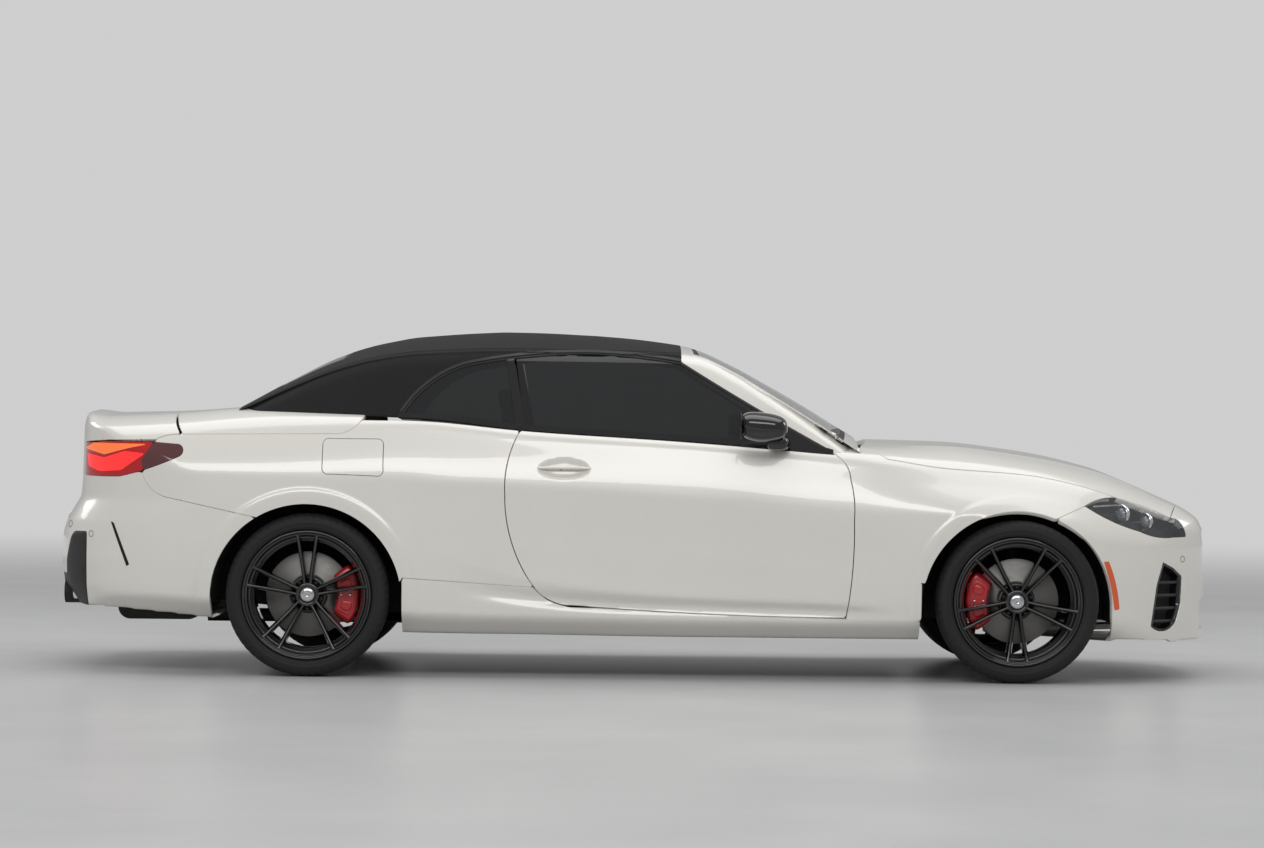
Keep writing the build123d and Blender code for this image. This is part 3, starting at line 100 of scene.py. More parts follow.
class Side(Enum):
    """The two sides of the car, as the sign of Y."""

    RIGHT = -1
    LEFT = 1


def both_sides(stem: str) -> tuple[str, str]:
    """A name's right-hand and left-hand forms."""
    return f"{stem}_right", f"{stem}_left"


DOORS = both_sides("door")


class Rays(Enum):
    """How a panel's two parameters aim the lines that find the body's skin."""

    SECTION = "section"  # u along the car, v an angle up from level in the cross-section
    PLAN = "plan"  # u along the car, v across it, looking straight down
    FRONT = "front"  # u an angle in plan about the front axis, v a height
    REAR = "rear"  # the same about the rear axis
    TAIL = "tail"  # u across, v a height, looking forward


# ------------------------------------------------------------------ curves and outlines
def pchip_slopes(x: Array, y: Array) -> Array:
    """Slopes of a shape-keeping cubic: the weighted harmonic mean of neighbouring steps, zero at a turn.

    Args:
        x: rising knots along the first axis.
        y: values at the knots, any further axes alike.

    Returns:
        The slope at each knot.
    """
    h = np.diff(x, axis=0)
    d = np.diff(y, axis=0) / h
    m = np.empty_like(y, dtype=float)
    m[0], m[-1] = d[0], d[-1]
    w1, w2 = 2 * h[1:] + h[:-1], h[1:] + 2 * h[:-1]
    same = d[:-1] * d[1:] > 0
    a, b = np.where(same, d[:-1], 1.0), np.where(same, d[1:], 1.0)
    m[1:-1] = np.where(same, (w1 + w2) / (w1 / a + w2 / b), 0.0)
    return m


def cubic(t: Array, h: Array, y0: Array, y1: Array, m0: Array, m1: Array) -> Array:
    """Hermite cubic at t in 0..1 over a step h, from y0 to y1 with end slopes m0 and m1."""
    return (
        y0 * (1 + 2 * t) * (1 - t) ** 2
        + h * m0 * t * (1 - t) ** 2
        + y1 * t * t * (3 - 2 * t)
        + h * m1 * t * t * (t - 1)
    )


def smooth_values(x: Array, y: Array, grid: Array) -> tuple[Array, float]:
    """The shape-keeping cubic through (x, y) read on a grid and level past its ends, and its last slope."""
    m = pchip_slopes(x, y)
    g = np.clip(grid, x[0], x[-1])
    i = np.clip(np.searchsorted(x, g, side="right") - 1, 0, len(x) - 2)
    h = x[i + 1] - x[i]
    return cubic((g - x[i]) / h, h, y[i], y[i + 1], m[i], m[i + 1]), m[-1]


class Lane:
    """A smooth curve of one value along the car, read from a short table."""

    STEP = 4.0

    def __init__(self, points: Sequence[Pair]) -> None:
        """Tabulates the cubic through the points on an even grid."""
        x, y = (np.array(v, float) for v in zip(*sorted(points)))
        self.grid = np.arange(-2460.0, 2460.0, self.STEP)
        self.values, _ = smooth_values(x, y, self.grid)

    def __call__(self, x: Array) -> Array:
        """The value at each x."""
        return np.interp(x, self.grid, self.values)


def through_rows(z: Array, rows_z: Array, rows_y: Array) -> Array:
    """A shape-keeping cubic through rows at each point, carried on straight past its ends.

    Args:
        z: where to read, one per point.
        rows_z: the rows' places, rising, one column per point.
        rows_y: the rows' values.

    Returns:
        The value at each point.
    """
    m = pchip_slopes(rows_z, rows_y)
    n = len(rows_z)
    i = np.clip((z[None] >= rows_z).sum(0) - 1, 0, n - 2)
    take = lambda rows, k: np.take_along_axis(rows, k[None], 0)[0]
    z0, z1 = take(rows_z, i), take(rows_z, i + 1)
    y0, y1, m0, m1 = take(rows_y, i), take(rows_y, i + 1), take(m, i), take(m, i + 1)
    h = z1 - z0
    t = (z - z0) / h
    inside = cubic(np.clip(t, 0, 1), h, y0, y1, m0, m1)
    return inside + np.where(t < 0, m0 * (z - z0), 0) + np.where(t > 1, m1 * (z - z1), 0)


def ease(x: Array, low: float, high: float) -> Array:
    """Smooth step from 0 at low to 1 at high."""
    t = np.clip((x - low) / (high - low), 0, 1)
    return t * t * (3 - 2 * t)


def ridge(d: Array, above: float, below: float, edge: float = 9.0) -> Array:
    """A crease line's swell: 1 on the line with a rounded edge, dying away on both sides.

    Args:
        d: distance from the line, positive above it.
        above: how fast it dies away above.
        below: how fast it dies away below.
        edge: the crease's own radius.

    Returns:
        The swell, from 0 to 1.
    """
    away = np.sqrt(d * d + edge * edge) - edge
    return np.exp(-away / np.where(d > 0, above, below))


def round_max(a: Array, b: Array, radius: Array | float) -> Array:
    """The larger of two distances with the corner between them rounded to a radius."""
    u, v = np.maximum(a + radius, 0), np.maximum(b + radius, 0)
    return np.minimum(-radius, np.maximum(a, b)) + np.sqrt(u * u + v * v)


def drawn(start: tuple, steps: Outline, per_arc: int = 24) -> Array:
    """A closed outline as points: a step is an end (x, z) for a line, or (through, end) for an arc.

    Args:
        start: the first point.
        steps: the lines and arcs that follow.
        per_arc: points on each arc.

    Returns:
        The outline's corner points in order.
    """
    out, here = [start], np.array(start, float)
    for step in steps:
        arc = isinstance(step[0], tuple)
        end = np.array(step[1] if arc else step, float)
        if arc:
            mid = np.array(step[0], float)
            m = 2 * np.array([mid - here, end - here])
            rhs = np.array([mid @ mid - here @ here, end @ end - here @ here])
            c = np.linalg.solve(m, rhs)
            a0, a1, a2 = (math.atan2(*(p - c)[::-1]) for p in (here, mid, end))
            turn = (a2 - a0) % (2 * math.pi)
            if (a1 - a0) % (2 * math.pi) > turn:
                turn -= 2 * math.pi
            a = a0 + turn * np.linspace(0, 1, per_arc)[1:]
            r = np.linalg.norm(here - c)
            out += list(zip(c[0] + r * np.cos(a), c[1] + r * np.sin(a)))
        else:
            out.append(tuple(end))
        here = end
    points = np.array(out, float)
    return points[:-1] if np.allclose(points[0], points[-1]) else points


def outline_distance(p: Array, q: Array, loop: Array) -> Array:
    """Signed distance of points (p, q) to a closed outline: negative inside, by the even-odd rule."""
    best = np.full(len(p), 1e9)
    inside = np.zeros(len(p), bool)
    for (ax, ay), (bx, by) in zip(loop, np.roll(loop, -1, 0)):
        ex, ey = bx - ax, by - ay
        wx, wy = p - ax, q - ay
        t = np.clip((wx * ex + wy * ey) / max(ex * ex + ey * ey, 1e-9), 0, 1)
        best = np.minimum(best, (wx - t * ex) ** 2 + (wy - t * ey) ** 2)
        if ay != by:
            inside ^= ((ay > q) != (by > q)) & (p < ex * (q - ay) / ey + ax)
    return np.sqrt(best) * np.where(inside, -1.0, 1.0)


# ------------------------------------------------------------------ outlines of the panels
DOOR = drawn(
    (-466, 1100),
    [
        (-466, 992), ((-514, 860), (-522, 740)), ((-490, 535), (-391, 352)), ((-335, 312), (-258, 297)),
        ((263, 268), (848, 257)), ((872, 440), (876, 650)), ((875, 735), (862, 810)),
        ((842, 872), (801, 909)), (795, 1100),
    ],
)
HOOD = drawn(
    (960, 0),
    [
        ((948, -330), (912, -640)), ((938, -745), (1015, -810)), ((1480, -757), (1880, -700)),
        ((2040, -668), (2180, -615)), ((2262, 0), (2180, 615)), ((2040, 668), (1880, 700)),
        ((1480, 757), (1015, 810)), ((938, 745), (912, 640)), ((948, 330), (960, 0)),
    ],
)
HEADLAMP = drawn(
    (1813, 713),
    [
        ((1877, 740), (2000, 734)), ((2100, 702), (2190, 662)), (2400, 640), (2400, 592), (2182, 587),
        ((2121, 588), (2040, 612)), ((1925, 652), (1813, 713)),
    ],
)
TAIL_LAMP = drawn(
    (-1848, 926),
    [
        (-1929, 932), (-2132, 935), (-2400, 915), (-2400, 800), (-2160, 792), (-2082, 793),
        ((-1960, 826), (-1835, 876)), ((-1819, 901), (-1848, 926)),
    ],
)
WINDOW = drawn(
    (-972, 880),
    [
        (-964, 1030), ((-880, 1148), (-700, 1260)), ((-420, 1305), (180, 1280)),
        ((500, 1086), (793, 922)), (800, 880),
    ],
)
TONNEAU = drawn(
    (-1093, 1150),
    [
        (-1093, 1052), ((-1133, 1001), (-1193, 974)), (-1825, 966),
        ((-1846, 1006), (-1866, 1058)), (-1866, 1150),
    ],
)
TRUNK = drawn(
    (-1874, 1180),
    [
        (-1874, 1058), ((-1856, 1006), (-1836, 966)),
        ((-1897, 960), (-1935, 944)), (-2132, 940), (-2450, 917), (-2450, 1180),
    ],
)
REAR_BUMPER = drawn(
    (-1500, 100), [(-1500, 632), (-1865, 709), ((-1945, 745), (-1985, 812)), (-2450, 812), (-2450, 100)]
)
FRONT_BUMPER = drawn(
    (1500, 100), [(1500, 580), (1715, 672), (1813, 713), (2000, 760), (2450, 800), (2450, 100)]
)
SILL = drawn(
    (1147, 100),
    [
        (1147, 248), (850, 249), (-140, 285), (-258, 288),
        ((-395, 350), (-412, 366)), (-934, 399), (-934, 100),
    ],
)
INTAKE = drawn(
    (2141, 488),
    [(2190, 464), (2232, 428), (2226, 315), (2206, 250), ((2150, 206), (2088, 228)), (2113, 395)],
)
FUEL_FLAP = drawn(
    (-1225, 812),
    [
        (-1044, 806), ((-1018, 812), (-1013, 838)), (-1013, 925), ((-1020, 948), (-1044, 955)),
        (-1225, 955), ((-1250, 948), (-1257, 925)), (-1257, 838), ((-1250, 818), (-1225, 812)),
    ],
)
SIDE_MARKER = drawn(
    (1884, 491), [(1904, 492), ((1934, 405), (1951, 300)), (1931, 296), ((1914, 396), (1884, 491))]
)
SCREEN = drawn((235, -552), [((225, 0), (235, 552)), (838, 752), ((872, 0), (838, -752)), (235, -552)])
REAR_WINDOW = drawn(
    (-1430, -420),
    [
        ((-1466, -406), (-1480, -370)), (-1480, 370), ((-1466, 406), (-1430, 420)), (-1240, 420),
        ((-1204, 406), (-1190, 370)), (-1190, -370), ((-1204, -406), (-1240, -420)), (-1430, -420),
    ],
)

Region = Callable[[Array], Array]


def in_side(loop: Array, grow: float = 0.0) -> Region:
    """The region inside an outline drawn on the side view."""
    return lambda p: outline_distance(p[:, 0], p[:, 2], loop) - grow


def in_plan(loop: Array, grow: float = 0.0) -> Region:
    """The region inside an outline drawn on the plan."""
    return lambda p: outline_distance(p[:, 0], p[:, 1], loop) - grow


def off_arch(x: float, radius: float = ARCH_R) -> Region:
    """The region outside a wheel arch."""
    return lambda p: np.where(
        p[:, 2] > ARCH_Z, radius - np.hypot(p[:, 0] - x, p[:, 2] - ARCH_Z), radius - np.abs(p[:, 0] - x)
    )


def beyond(half: float) -> Region:
    """Farther from the centre plane than a half-width."""
    return lambda p: half - np.abs(p[:, 1])


def behind(x: float) -> Region:
    """Behind a cross-plane."""
    return lambda p: p[:, 0] - x


def ahead(x: float) -> Region:
    """Ahead of a cross-plane."""
    return lambda p: x - p[:, 0]


def above(z: float) -> Region:
    """Above a level."""
    return lambda p: z - p[:, 2]


def on_right(p: Array) -> Array:
    """Below zero on the right-hand side."""
    return p[:, 1]


def both_of(*regions: Region) -> Region:
    """Where all the regions hold."""
    return lambda p: np.max([r(p) for r in regions], axis=0)


def not_in(region: Region) -> Region:
    """Outside a region."""
    return lambda p: -region(p)


def rounded(half_w: float, low: float, high: float, radius: float) -> Region:
    """Inside a rounded rectangle seen from the front."""
    mid, half_h = (low + high) / 2, (high - low) / 2

    def distance(p: Array) -> Array:
        """Signed distance to the rounded rectangle."""
        a = np.abs(p[:, 1]) - half_w + radius
        b = np.abs(p[:, 2] - mid) - half_h + radius
        outer = np.hypot(np.maximum(a, 0), np.maximum(b, 0))
        return outer + np.minimum(np.maximum(a, b), 0) - radius

    return distance


# ------------------------------------------------------------------ the body's form
@dataclass
class BodyForm:
    """The smooth outer form of the body below the belt, as a field that is negative inside.

    The side is a cubic through feature rows at each station, with creases and wheel-arch bands
    added to it; the upper face, the nose and the tail are further fields, joined with rounded edges.
    """

    # x; then z and y of the foot, lower side, waist, crease, shoulder and upper face; then z at the middle
    rows: Sequence[tuple] = (
        (-2405, 255, 600, 340, 690, 560, 745, 790, 715, 960, 640, 1015, 420, 1035),
        (-2200, 265, 690, 340, 790, 560, 838, 795, 822, 975, 745, 1035, 500, 1052),
        (-1900, 245, 770, 330, 865, 560, 890, 800, 880, 990, 800, 1050, 560, 1062),
        (-1463, 200, 800, 295, 900, 560, 924, 795, 912, 1020, 818, 1080, 620, 1090),
        (-893, 175, 800, 270, 895, 560, 905, 782, 905, 1036, 825, 1048, 650, 1052),
        (-453, 172, 795, 260, 885, 540, 890, 768, 900, 996, 840, 1004, 650, 1008),
        (250, 168, 795, 255, 880, 530, 885, 732, 898, 955, 848, 964, 650, 972),
        (850, 168, 795, 255, 880, 520, 892, 682, 906, 908, 846, 945, 650, 972),
        (1250, 168, 790, 255, 885, 520, 912, 662, 916, 872, 786, 940, 540, 966),
        (1600, 170, 780, 260, 885, 520, 914, 655, 910, 836, 752, 900, 500, 930),
        (1900, 162, 755, 270, 855, 500, 880, 635, 862, 765, 712, 838, 450, 866),
        (2150, 152, 720, 270, 800, 480, 815, 600, 788, 682, 640, 748, 400, 770),
        (2405, 150, 640, 250, 700, 450, 720, 560, 688, 625, 560, 665, 350, 685),
    )
    # z; then how far the tail and the nose are drawn in there
    ends: Sequence[tuple] = (
        (60, 160, 80), (160, 130, 8), (260, 78, 0), (350, 14, 0), (450, 0, 0), (550, 2, 0),
        (610, 20, 8), (660, 48, 32), (705, 76, 85), (770, 82, 215), (1000, 88, 260), (1160, 130, 300),
    )
    # how far an end is drawn back; then the half-width
    nose_corner: Sequence[tuple] = (
        (0, 0), (16, 260), (46, 430), (110, 560), (240, 705), (480, 850), (760, 960)
    )
    tail_corner: Sequence[tuple] = ((0, 0), (12, 300), (62, 600), (190, 775), (440, 880), (760, 960))
    # x; then the height, or the swell, of each crease line and of the sill's blade
    upper_crease: Sequence[tuple] = (
        (-2000, 800), (-943, 783), (-462, 768), (18, 741), (498, 706), (871, 678), (1079, 660)
    )
    upper_depth: Sequence[tuple] = ((-1700, 0), (-1050, 2), (-700, 9), (500, 9), (900, 6), (1150, 0))
    lower_crease: Sequence[tuple] = (
        (-760, 488), (-459, 408), (-138, 359), (262, 331), (863, 306), (1100, 292)
    )
    lower_depth: Sequence[tuple] = ((-860, 0), (-600, 8), (-200, 15), (800, 15), (960, 8), (1060, 0))
    blade: Sequence[tuple] = ((-760, 0), (-560, 12), (-200, 20), (760, 20), (1000, 6), (1140, 0))

    def __post_init__(self) -> None:
        """Prepares the lanes along the car and the tables of the ends."""
        table = np.array(self.rows, float)
        x = table[:, 0]
        self.lanes = [Lane(list(zip(x, table[:, k]))) for k in range(1, 14)]
        self.crease_z, self.crease_a = Lane(self.upper_crease), Lane(self.upper_depth)
        self.low_z, self.low_a = Lane(self.lower_crease), Lane(self.lower_depth)
        self.blade_a = Lane(self.blade)
        e = np.array(self.ends, float)
        self.end_z = np.arange(40.0, 1200.0, 4.0)
        rows = [np.interp(self.end_z, e[:, 0], e[:, k]) for k in (1, 2)]
        soft = np.hanning(13) / np.hanning(13).sum()
        self.tail_in, self.nose_in = (np.convolve(np.pad(r, 6, "edge"), soft, "valid") for r in rows)
        self.corner_y = np.arange(0.0, 1100.0, 5.0)
        self.nose_back, self.tail_back = (self.corner(c) for c in (self.nose_corner, self.tail_corner))

    def corner(self, points: Sequence[tuple]) -> Array:
        """How far an end is drawn back at each half-width, a smooth rising curve."""
        back, half = (np.array(v, float) for v in zip(*points))
        value, slope = smooth_values(half, back, self.corner_y)
        return value + np.maximum(self.corner_y - half[-1], 0) * slope

    def side_y(self, x: Array, z: Array) -> Array:
        """Half-width of the side at (x, z): the cubic through the rows plus creases and bands."""
        zb, yb, zs, ys, zw, yw, zc, yc, ze, ye = (lane(x) for lane in self.lanes[:10])
        y = through_rows(z, np.array([zb, zs, zw, zc, ze]), np.array([yb, ys, yw, yc, ye]))
        d = z - self.crease_z(x)
        y += self.crease_a(x) * (ridge(d, 70, 60) - 0.35)
        low = self.low_z(x)
        y += self.low_a(x) * (ridge(z - low, 110, 40) - 0.3)
        y -= self.blade_a(x) * np.exp(-(((z - (low + 235) / 2 - 6) / 30) ** 2))
        for ax in (FRONT_X, REAR_ARCH_X):
            r = np.hypot(x - ax, np.maximum(z, ARCH_Z) - ARCH_Z)
            band = 1 - ease(r, ARCH_R + 52, ARCH_R + 68)
            y += 7 * band * ease(z, 180, 330) - 6 * (1 - ease(r, ARCH_R, ARCH_R + 40)) * band
        dish = ((x + 288) / 108) ** 2 + ((z - 842) / 40) ** 2
        y -= 15 * (1 - ease(dish, 0.45, 1.0))
        slot = x + 2039 + (z - 438) * 0.407
        y += 9 * ease(slot, -130, -24) * (1 - ease(slot, -4, 3)) * ease(z, 400, 450) * (1 - ease(z, 600, 650))
        return y

    def top_z(self, x: Array, y: Array) -> Array:
        """Height of the upper face at (x, y): a cubic from the centre line to the shoulder."""
        ze, ye, zm, ym, zt = (self.lanes[k](x) for k in (8, 9, 10, 11, 12))
        a = np.abs(y)
        zero = np.zeros_like(a)
        rows_y = np.array([zero, ym, ye, ye + 60])
        rows_z = np.array([zt, zm, ze, ze - 70])
        z = through_rows(a, rows_y, rows_z)
        hood = ease(x, 1000, 1250) * (1 - ease(x, 2050, 2200))
        line = 560 - (x - 1000) * 0.16
        z += 7 * hood * ridge(a - line, 60, 90, 14)
        lip = ease(-x, 2150, 2270) * (1 - ease(-x, 2285, 2330))
        return z + 16 * lip * (1 - ease(a, 560, 720))

    def field(self, p: Array) -> Array:
        """The body's field at points: below zero inside, about a distance near the skin."""
        x, y, z = p.T
        a = np.abs(y)
        side = (a - self.side_y(x, z)) * 0.96
        top = (z - self.top_z(x, y)) * 0.97
        low = self.lanes[0](x) - z
        nose_in = np.interp(z, self.end_z, self.nose_in)
        tail_in = np.interp(z, self.end_z, self.tail_in)
        n_back, t_back = (np.interp(a, self.corner_y, b) for b in (self.nose_back, self.tail_back))
        n_slope = np.interp(a, self.corner_y, np.gradient(self.nose_back, 5.0))
        t_slope = np.interp(a, self.corner_y, np.gradient(self.tail_back, 5.0))
        nose = (x - NOSE_X + nose_in + n_back) / np.sqrt(1 + n_slope**2)
        tail = (TAIL_X + tail_in + t_back - x) / np.sqrt(1 + t_slope**2)
        shell = round_max(side, top, 34.0)
        shell = round_max(shell, nose, 46.0)
        shell = round_max(shell, tail, 16.0)
        return round_max(shell, low, 14.0)

    def rays(self, kind: Rays, u: Array, v: Array) -> tuple[Array, Array]:
        """Where the lines of a ray family start and how they run."""
        zero, one = np.zeros_like(u), np.ones_like(u)
        if kind is Rays.SECTION:
            t = np.radians(v)
            return np.stack([u, zero, one * 480], 1), np.stack([zero, -np.cos(t), np.sin(t)], 1)
        if kind is Rays.PLAN:
            return np.stack([u, v, one * 400], 1), np.stack([zero, zero, one], 1)
        if kind is Rays.TAIL:
            return np.stack([one * -1700, u, v], 1), np.stack([-one, zero, zero], 1)
        t, x0 = np.radians(u), 1450.0 if kind is Rays.FRONT else -1400.0
        sign = 1.0 if kind is Rays.FRONT else -1.0
        return np.stack([one * x0, zero, v], 1), np.stack([sign * np.sin(t), -np.cos(t), zero], 1)

    def skin(self, kind: Rays, u: Array, v: Array) -> Array:
        """Points where the rays leave the body: halving the bracket, then one straight-line step."""
        o, d = self.rays(kind, u, v)
        near, far = np.full(len(u), 60.0), np.full(len(u), 1250.0)
        for _ in range(15):
            mid = (near + far) / 2
            inside = self.field(o + d * mid[:, None]) < 0
            near, far = np.where(inside, mid, near), np.where(inside, far, mid)
        f0, f1 = self.field(o + d * near[:, None]), self.field(o + d * far[:, None])
        t = near + (far - near) * np.clip(f0 / np.where(f0 == f1, 1, f0 - f1), 0, 1)
        return o + d * t[:, None]


@dataclass
class GreenhouseForm:
    """Roof, pillars and side glass: straight sides up to the rails, a crown over them, corners softened."""

    # x; then z and y of the base and the rail; then z at the middle
    rows: Sequence[tuple] = (
        (-1670, 950, 760, 1040, 700, 1064),
        (-1560, 955, 778, 1085, 690, 1130),
        (-1422, 960, 795, 1150, 672, 1207),
        (-1233, 960, 808, 1228, 648, 1300),
        (-1064, 958, 814, 1275, 630, 1352),
        (-875, 955, 818, 1302, 617, 1384),
        (-500, 948, 822, 1316, 612, 1405),
        (-100, 930, 826, 1314, 612, 1389),
        (150, 918, 829, 1310, 612, 1362),
        (235, 915, 830, 1304, 613, 1346),
        (395, 910, 831, 1238, 650, 1279),
        (522, 905, 832, 1161, 697, 1212),
        (700, 895, 832, 1050, 760, 1112),
        (905, 880, 830, 915, 824, 985),
    )
    soften: float = 34.0

    def __post_init__(self) -> None:
        """Prepares the lanes along the roof."""
        table = np.array(self.rows, float)
        self.lanes = [Lane(list(zip(table[:, 0], table[:, k]))) for k in range(1, 6)]

    def raw(self, x: Array, s: Array, inset: float) -> tuple[Array, Array]:
        """Half-section at arc place s in 0..2: 0 is the base, 1 the rail, 2 the centre line."""
        zb, yb, zr, yr, zt = (lane(x) for lane in self.lanes)
        t = np.minimum(s, 1)
        slope_z = (zr - zb) * t + zb
        slope_y = (yr - yb) * t + yb
        c = np.clip(s - 1, 0, None)
        y = np.where(s > 1, yr * (1 - c), slope_y)
        crown = zr + (zt - zr) * (1 - (1 - c) ** 2)
        z = np.where(s > 1, crown, slope_z)
        length = np.hypot(zr - zb, yb - yr)
        ny, nz = (zr - zb) / length, (yb - yr) / length
        w = ease(s, 0.9, 1.15)
        ny, nz = ny * (1 - w), nz * (1 - w) + w
        n = np.hypot(ny, nz)
        return y - inset * ny / n, z - inset * nz / n

    def surface(self, x: Array, v: Array, inset: float = 0.0) -> Array:
        """Points at (x, v): v runs from -2 at the right base over the top at 0 to 2 at the left base.

        The section is averaged over a short run of its own arc, which rounds the rail.
        """
        s = 2 - np.abs(v)
        zb, yb, zr, yr, _ = (lane(x) for lane in self.lanes)
        wide = self.soften / np.where(s > 1, yr, np.hypot(zr - zb, yb - yr))
        y, z = np.zeros_like(x), np.zeros_like(x)
        steps, total = np.linspace(-2, 2, 9), 0.0
        for k in steps:
            weight = math.exp(-k * k / 2)
            sk = s + wide * k
            flip = sk > 2
            yk, zk = self.raw(x, np.where(flip, 4 - sk, sk), inset)
            y += weight * np.where(flip, -yk, yk)
            z += weight * zk
            total += weight
        return np.stack([x, np.where(v < 0, -1, 1) * y / total, z / total], 1)


BODY = BodyForm()
GREENHOUSE = GreenhouseForm()


# ------------------------------------------------------------------ meshes
@dataclass
class Patch:
    """A surface: points in millimetres, faces as point numbers, and each point's two parameters."""

    points: Array
    faces: list[Array]
    uv: Array
    crisp: Array | None = None  # edges that shade crisply, as pairs of points

    def turned_over(self) -> Patch:
        """The patch with its faces looking the other way."""
        return replace(self, faces=[f[:, ::-1] for f in self.faces])

    def other_side(self) -> Patch:
        """The patch mirrored to the other side of the car, its faces still pointing outwards."""
        return replace(self, points=self.points * (1, -1, 1)).turned_over()


def signs_differ(phi: Array) -> Array:
    """Grid points whose region value is the nearer to zero of a pair that straddles the edge."""
    near = np.zeros(phi.shape, bool)
    for axis in (0, 1):
        a = np.moveaxis(phi, axis, 0)
        mark = np.moveaxis(near, axis, 0)
        cross = (a[:-1] < 0) != (a[1:] < 0)
        first = np.abs(a[:-1]) <= np.abs(a[1:])
        mark[:-1] |= cross & first
        mark[1:] |= cross & ~first
    return near


def trimmed(
    surface: Callable[[Array, Array], Array],
    region: Region,
    u_span: Pair,
    v_span: Pair,
    cells: tuple[int, int],
) -> Patch:
    """A grid of a surface cut to a region, its border points drawn onto the region's edge.

    Args:
        surface: the surface as a function of two parameters.
        region: below zero where the surface is kept.
        u_span: range of the first parameter.
        v_span: range of the second parameter.
        cells: number of grid cells each way.

    Returns:
        The trimmed patch.
    """
    nu, nv = cells[0] + 1, cells[1] + 1
    u, v = (g.ravel() for g in np.meshgrid(np.linspace(*u_span, nu), np.linspace(*v_span, nv), indexing="ij"))
    du, dv = (u_span[1] - u_span[0]) / cells[0], (v_span[1] - v_span[0]) / cells[1]
    p = surface(u, v)
    phi = region(p)
    snap = np.flatnonzero(signs_differ(phi.reshape(nu, nv)).ravel())
    su, sv, limit = u[snap].copy(), v[snap].copy(), 0.75
    for _ in range(4):
        f = region(surface(su, sv))
        gu = (region(surface(su + 0.08 * du, sv)) - f) / 0.08
        gv = (region(surface(su, sv + 0.08 * dv)) - f) / 0.08
        g2 = np.maximum(gu * gu + gv * gv, 1e-6)
        su = np.clip(su - f * gu / g2 * du, u[snap] - limit * du, u[snap] + limit * du)
        sv = np.clip(sv - f * gv / g2 * dv, v[snap] - limit * dv, v[snap] + limit * dv)
        su, sv = np.clip(su, *sorted(u_span)), np.clip(sv, *sorted(v_span))
    p[snap] = surface(su, sv)
    u[snap], v[snap] = su, sv
    keep = phi < 0
    keep[snap] = True
    snapped = np.zeros(len(phi), bool)
    snapped[snap] = True
    index = np.arange(nu * nv).reshape(nu, nv)
    quad = np.stack([index[:-1, :-1], index[1:, :-1], index[1:, 1:], index[:-1, 1:]], -1).reshape(-1, 4)
    ok = keep[quad]
    thin = snapped[quad].all(1) & (region(p[quad].mean(1)) > -0.15)
    quads = quad[ok.all(1) & ~thin]
    three = quad[ok.sum(1) == 3]
    missing = np.argmin(keep[three], 1)
    tris = np.stack([three[np.arange(len(three)), (missing + k) % 4] for k in (1, 2, 3)], 1)
    tris = tris[region(p[tris].mean(1)) < 0] if len(tris) else tris
    used = np.unique(np.concatenate([quads.ravel(), tris.ravel()]))
    number = np.full(nu * nv, -1)
    number[used] = np.arange(len(used))
    return Patch(p[used], [number[quads], number[tris]], np.stack([u[used], v[used]], 1))


def open_edges(patch: Patch) -> Array:
    """The directed edges that only one face has."""
    edges = np.concatenate(
        [np.stack([f, np.roll(f, -1, 1)], -1).reshape(-1, 2) for f in patch.faces if len(f)]
    )
    n = len(patch.points)
    key, back = edges[:, 0] * n + edges[:, 1], edges[:, 1] * n + edges[:, 0]
    return edges[~np.isin(key, back)]


def point_normals(patch: Patch) -> Array:
    """Unit normals at the points, from the faces around each."""
    out = np.zeros_like(patch.points)
    for f in patch.faces:
        if len(f):
            a, b, c = patch.points[f[:, 0]], patch.points[f[:, 1]], patch.points[f[:, -1]]
            n = np.cross(b - a, c - a)
            for k in range(f.shape[1]):
                np.add.at(out, f[:, k], n)
    return out / np.maximum(np.linalg.norm(out, axis=1, keepdims=True), 1e-12)


def with_return(patch: Patch, depth: float, crisp: bool = True) -> Patch:
    """A patch with a small chamfer round its border and a flange turned in behind it.

    Args:
        patch: the trimmed skin, its faces pointing outwards.
        depth: how far the flange runs in, along the inward normal.
        crisp: whether the border shades crisply.

    Returns:
        The patch with its return.
    """
    chamfer = 0.9
    edges = open_edges(patch)
    normals = point_normals(patch)
    along = patch.points[edges[:, 1]] - patch.points[edges[:, 0]]
    along /= np.maximum(np.linalg.norm(along, axis=1, keepdims=True), 1e-9)
    away = np.cross(along, normals[edges[:, 0]])
    outward = np.zeros_like(patch.points)
    np.add.at(outward, edges[:, 0], away)
    np.add.at(outward, edges[:, 1], away)
    border = np.unique(edges)
    out = outward[border] / np.maximum(np.linalg.norm(outward[border], axis=1, keepdims=True), 1e-9)
    base, n = patch.points[border], len(patch.points)
    ring = base + chamfer * (out - normals[border])
    deep = ring - depth * normals[border]
    number = np.full(n, -1)
    number[border] = np.arange(len(border))
    e, m = number[edges], len(border)
    side = np.stack([edges[:, 1], edges[:, 0], n + e[:, 0], n + e[:, 1]], 1)
    wall = np.stack([n + e[:, 1], n + e[:, 0], n + m + e[:, 0], n + m + e[:, 1]], 1)
    faces = [np.concatenate([patch.faces[0], side, wall]), patch.faces[1]]
    uv = np.concatenate([patch.uv, patch.uv[border], patch.uv[border]])
    return Patch(np.concatenate([patch.points, ring, deep]), faces, uv, edges if crisp else None)


def joined(*patches: Patch) -> Patch:
    """Several patches as one."""
    points, uv = (np.concatenate([getattr(p, k) for p in patches]) for k in ("points", "uv"))
    starts = np.cumsum([0] + [len(p.points) for p in patches])
    faces = [f + s for p, s in zip(patches, starts) for f in p.faces if len(f)]
    crisp = [p.crisp + s for p, s in zip(patches, starts) if p.crisp is not None]
    return Patch(points, faces, uv, np.concatenate(crisp) if crisp else None)


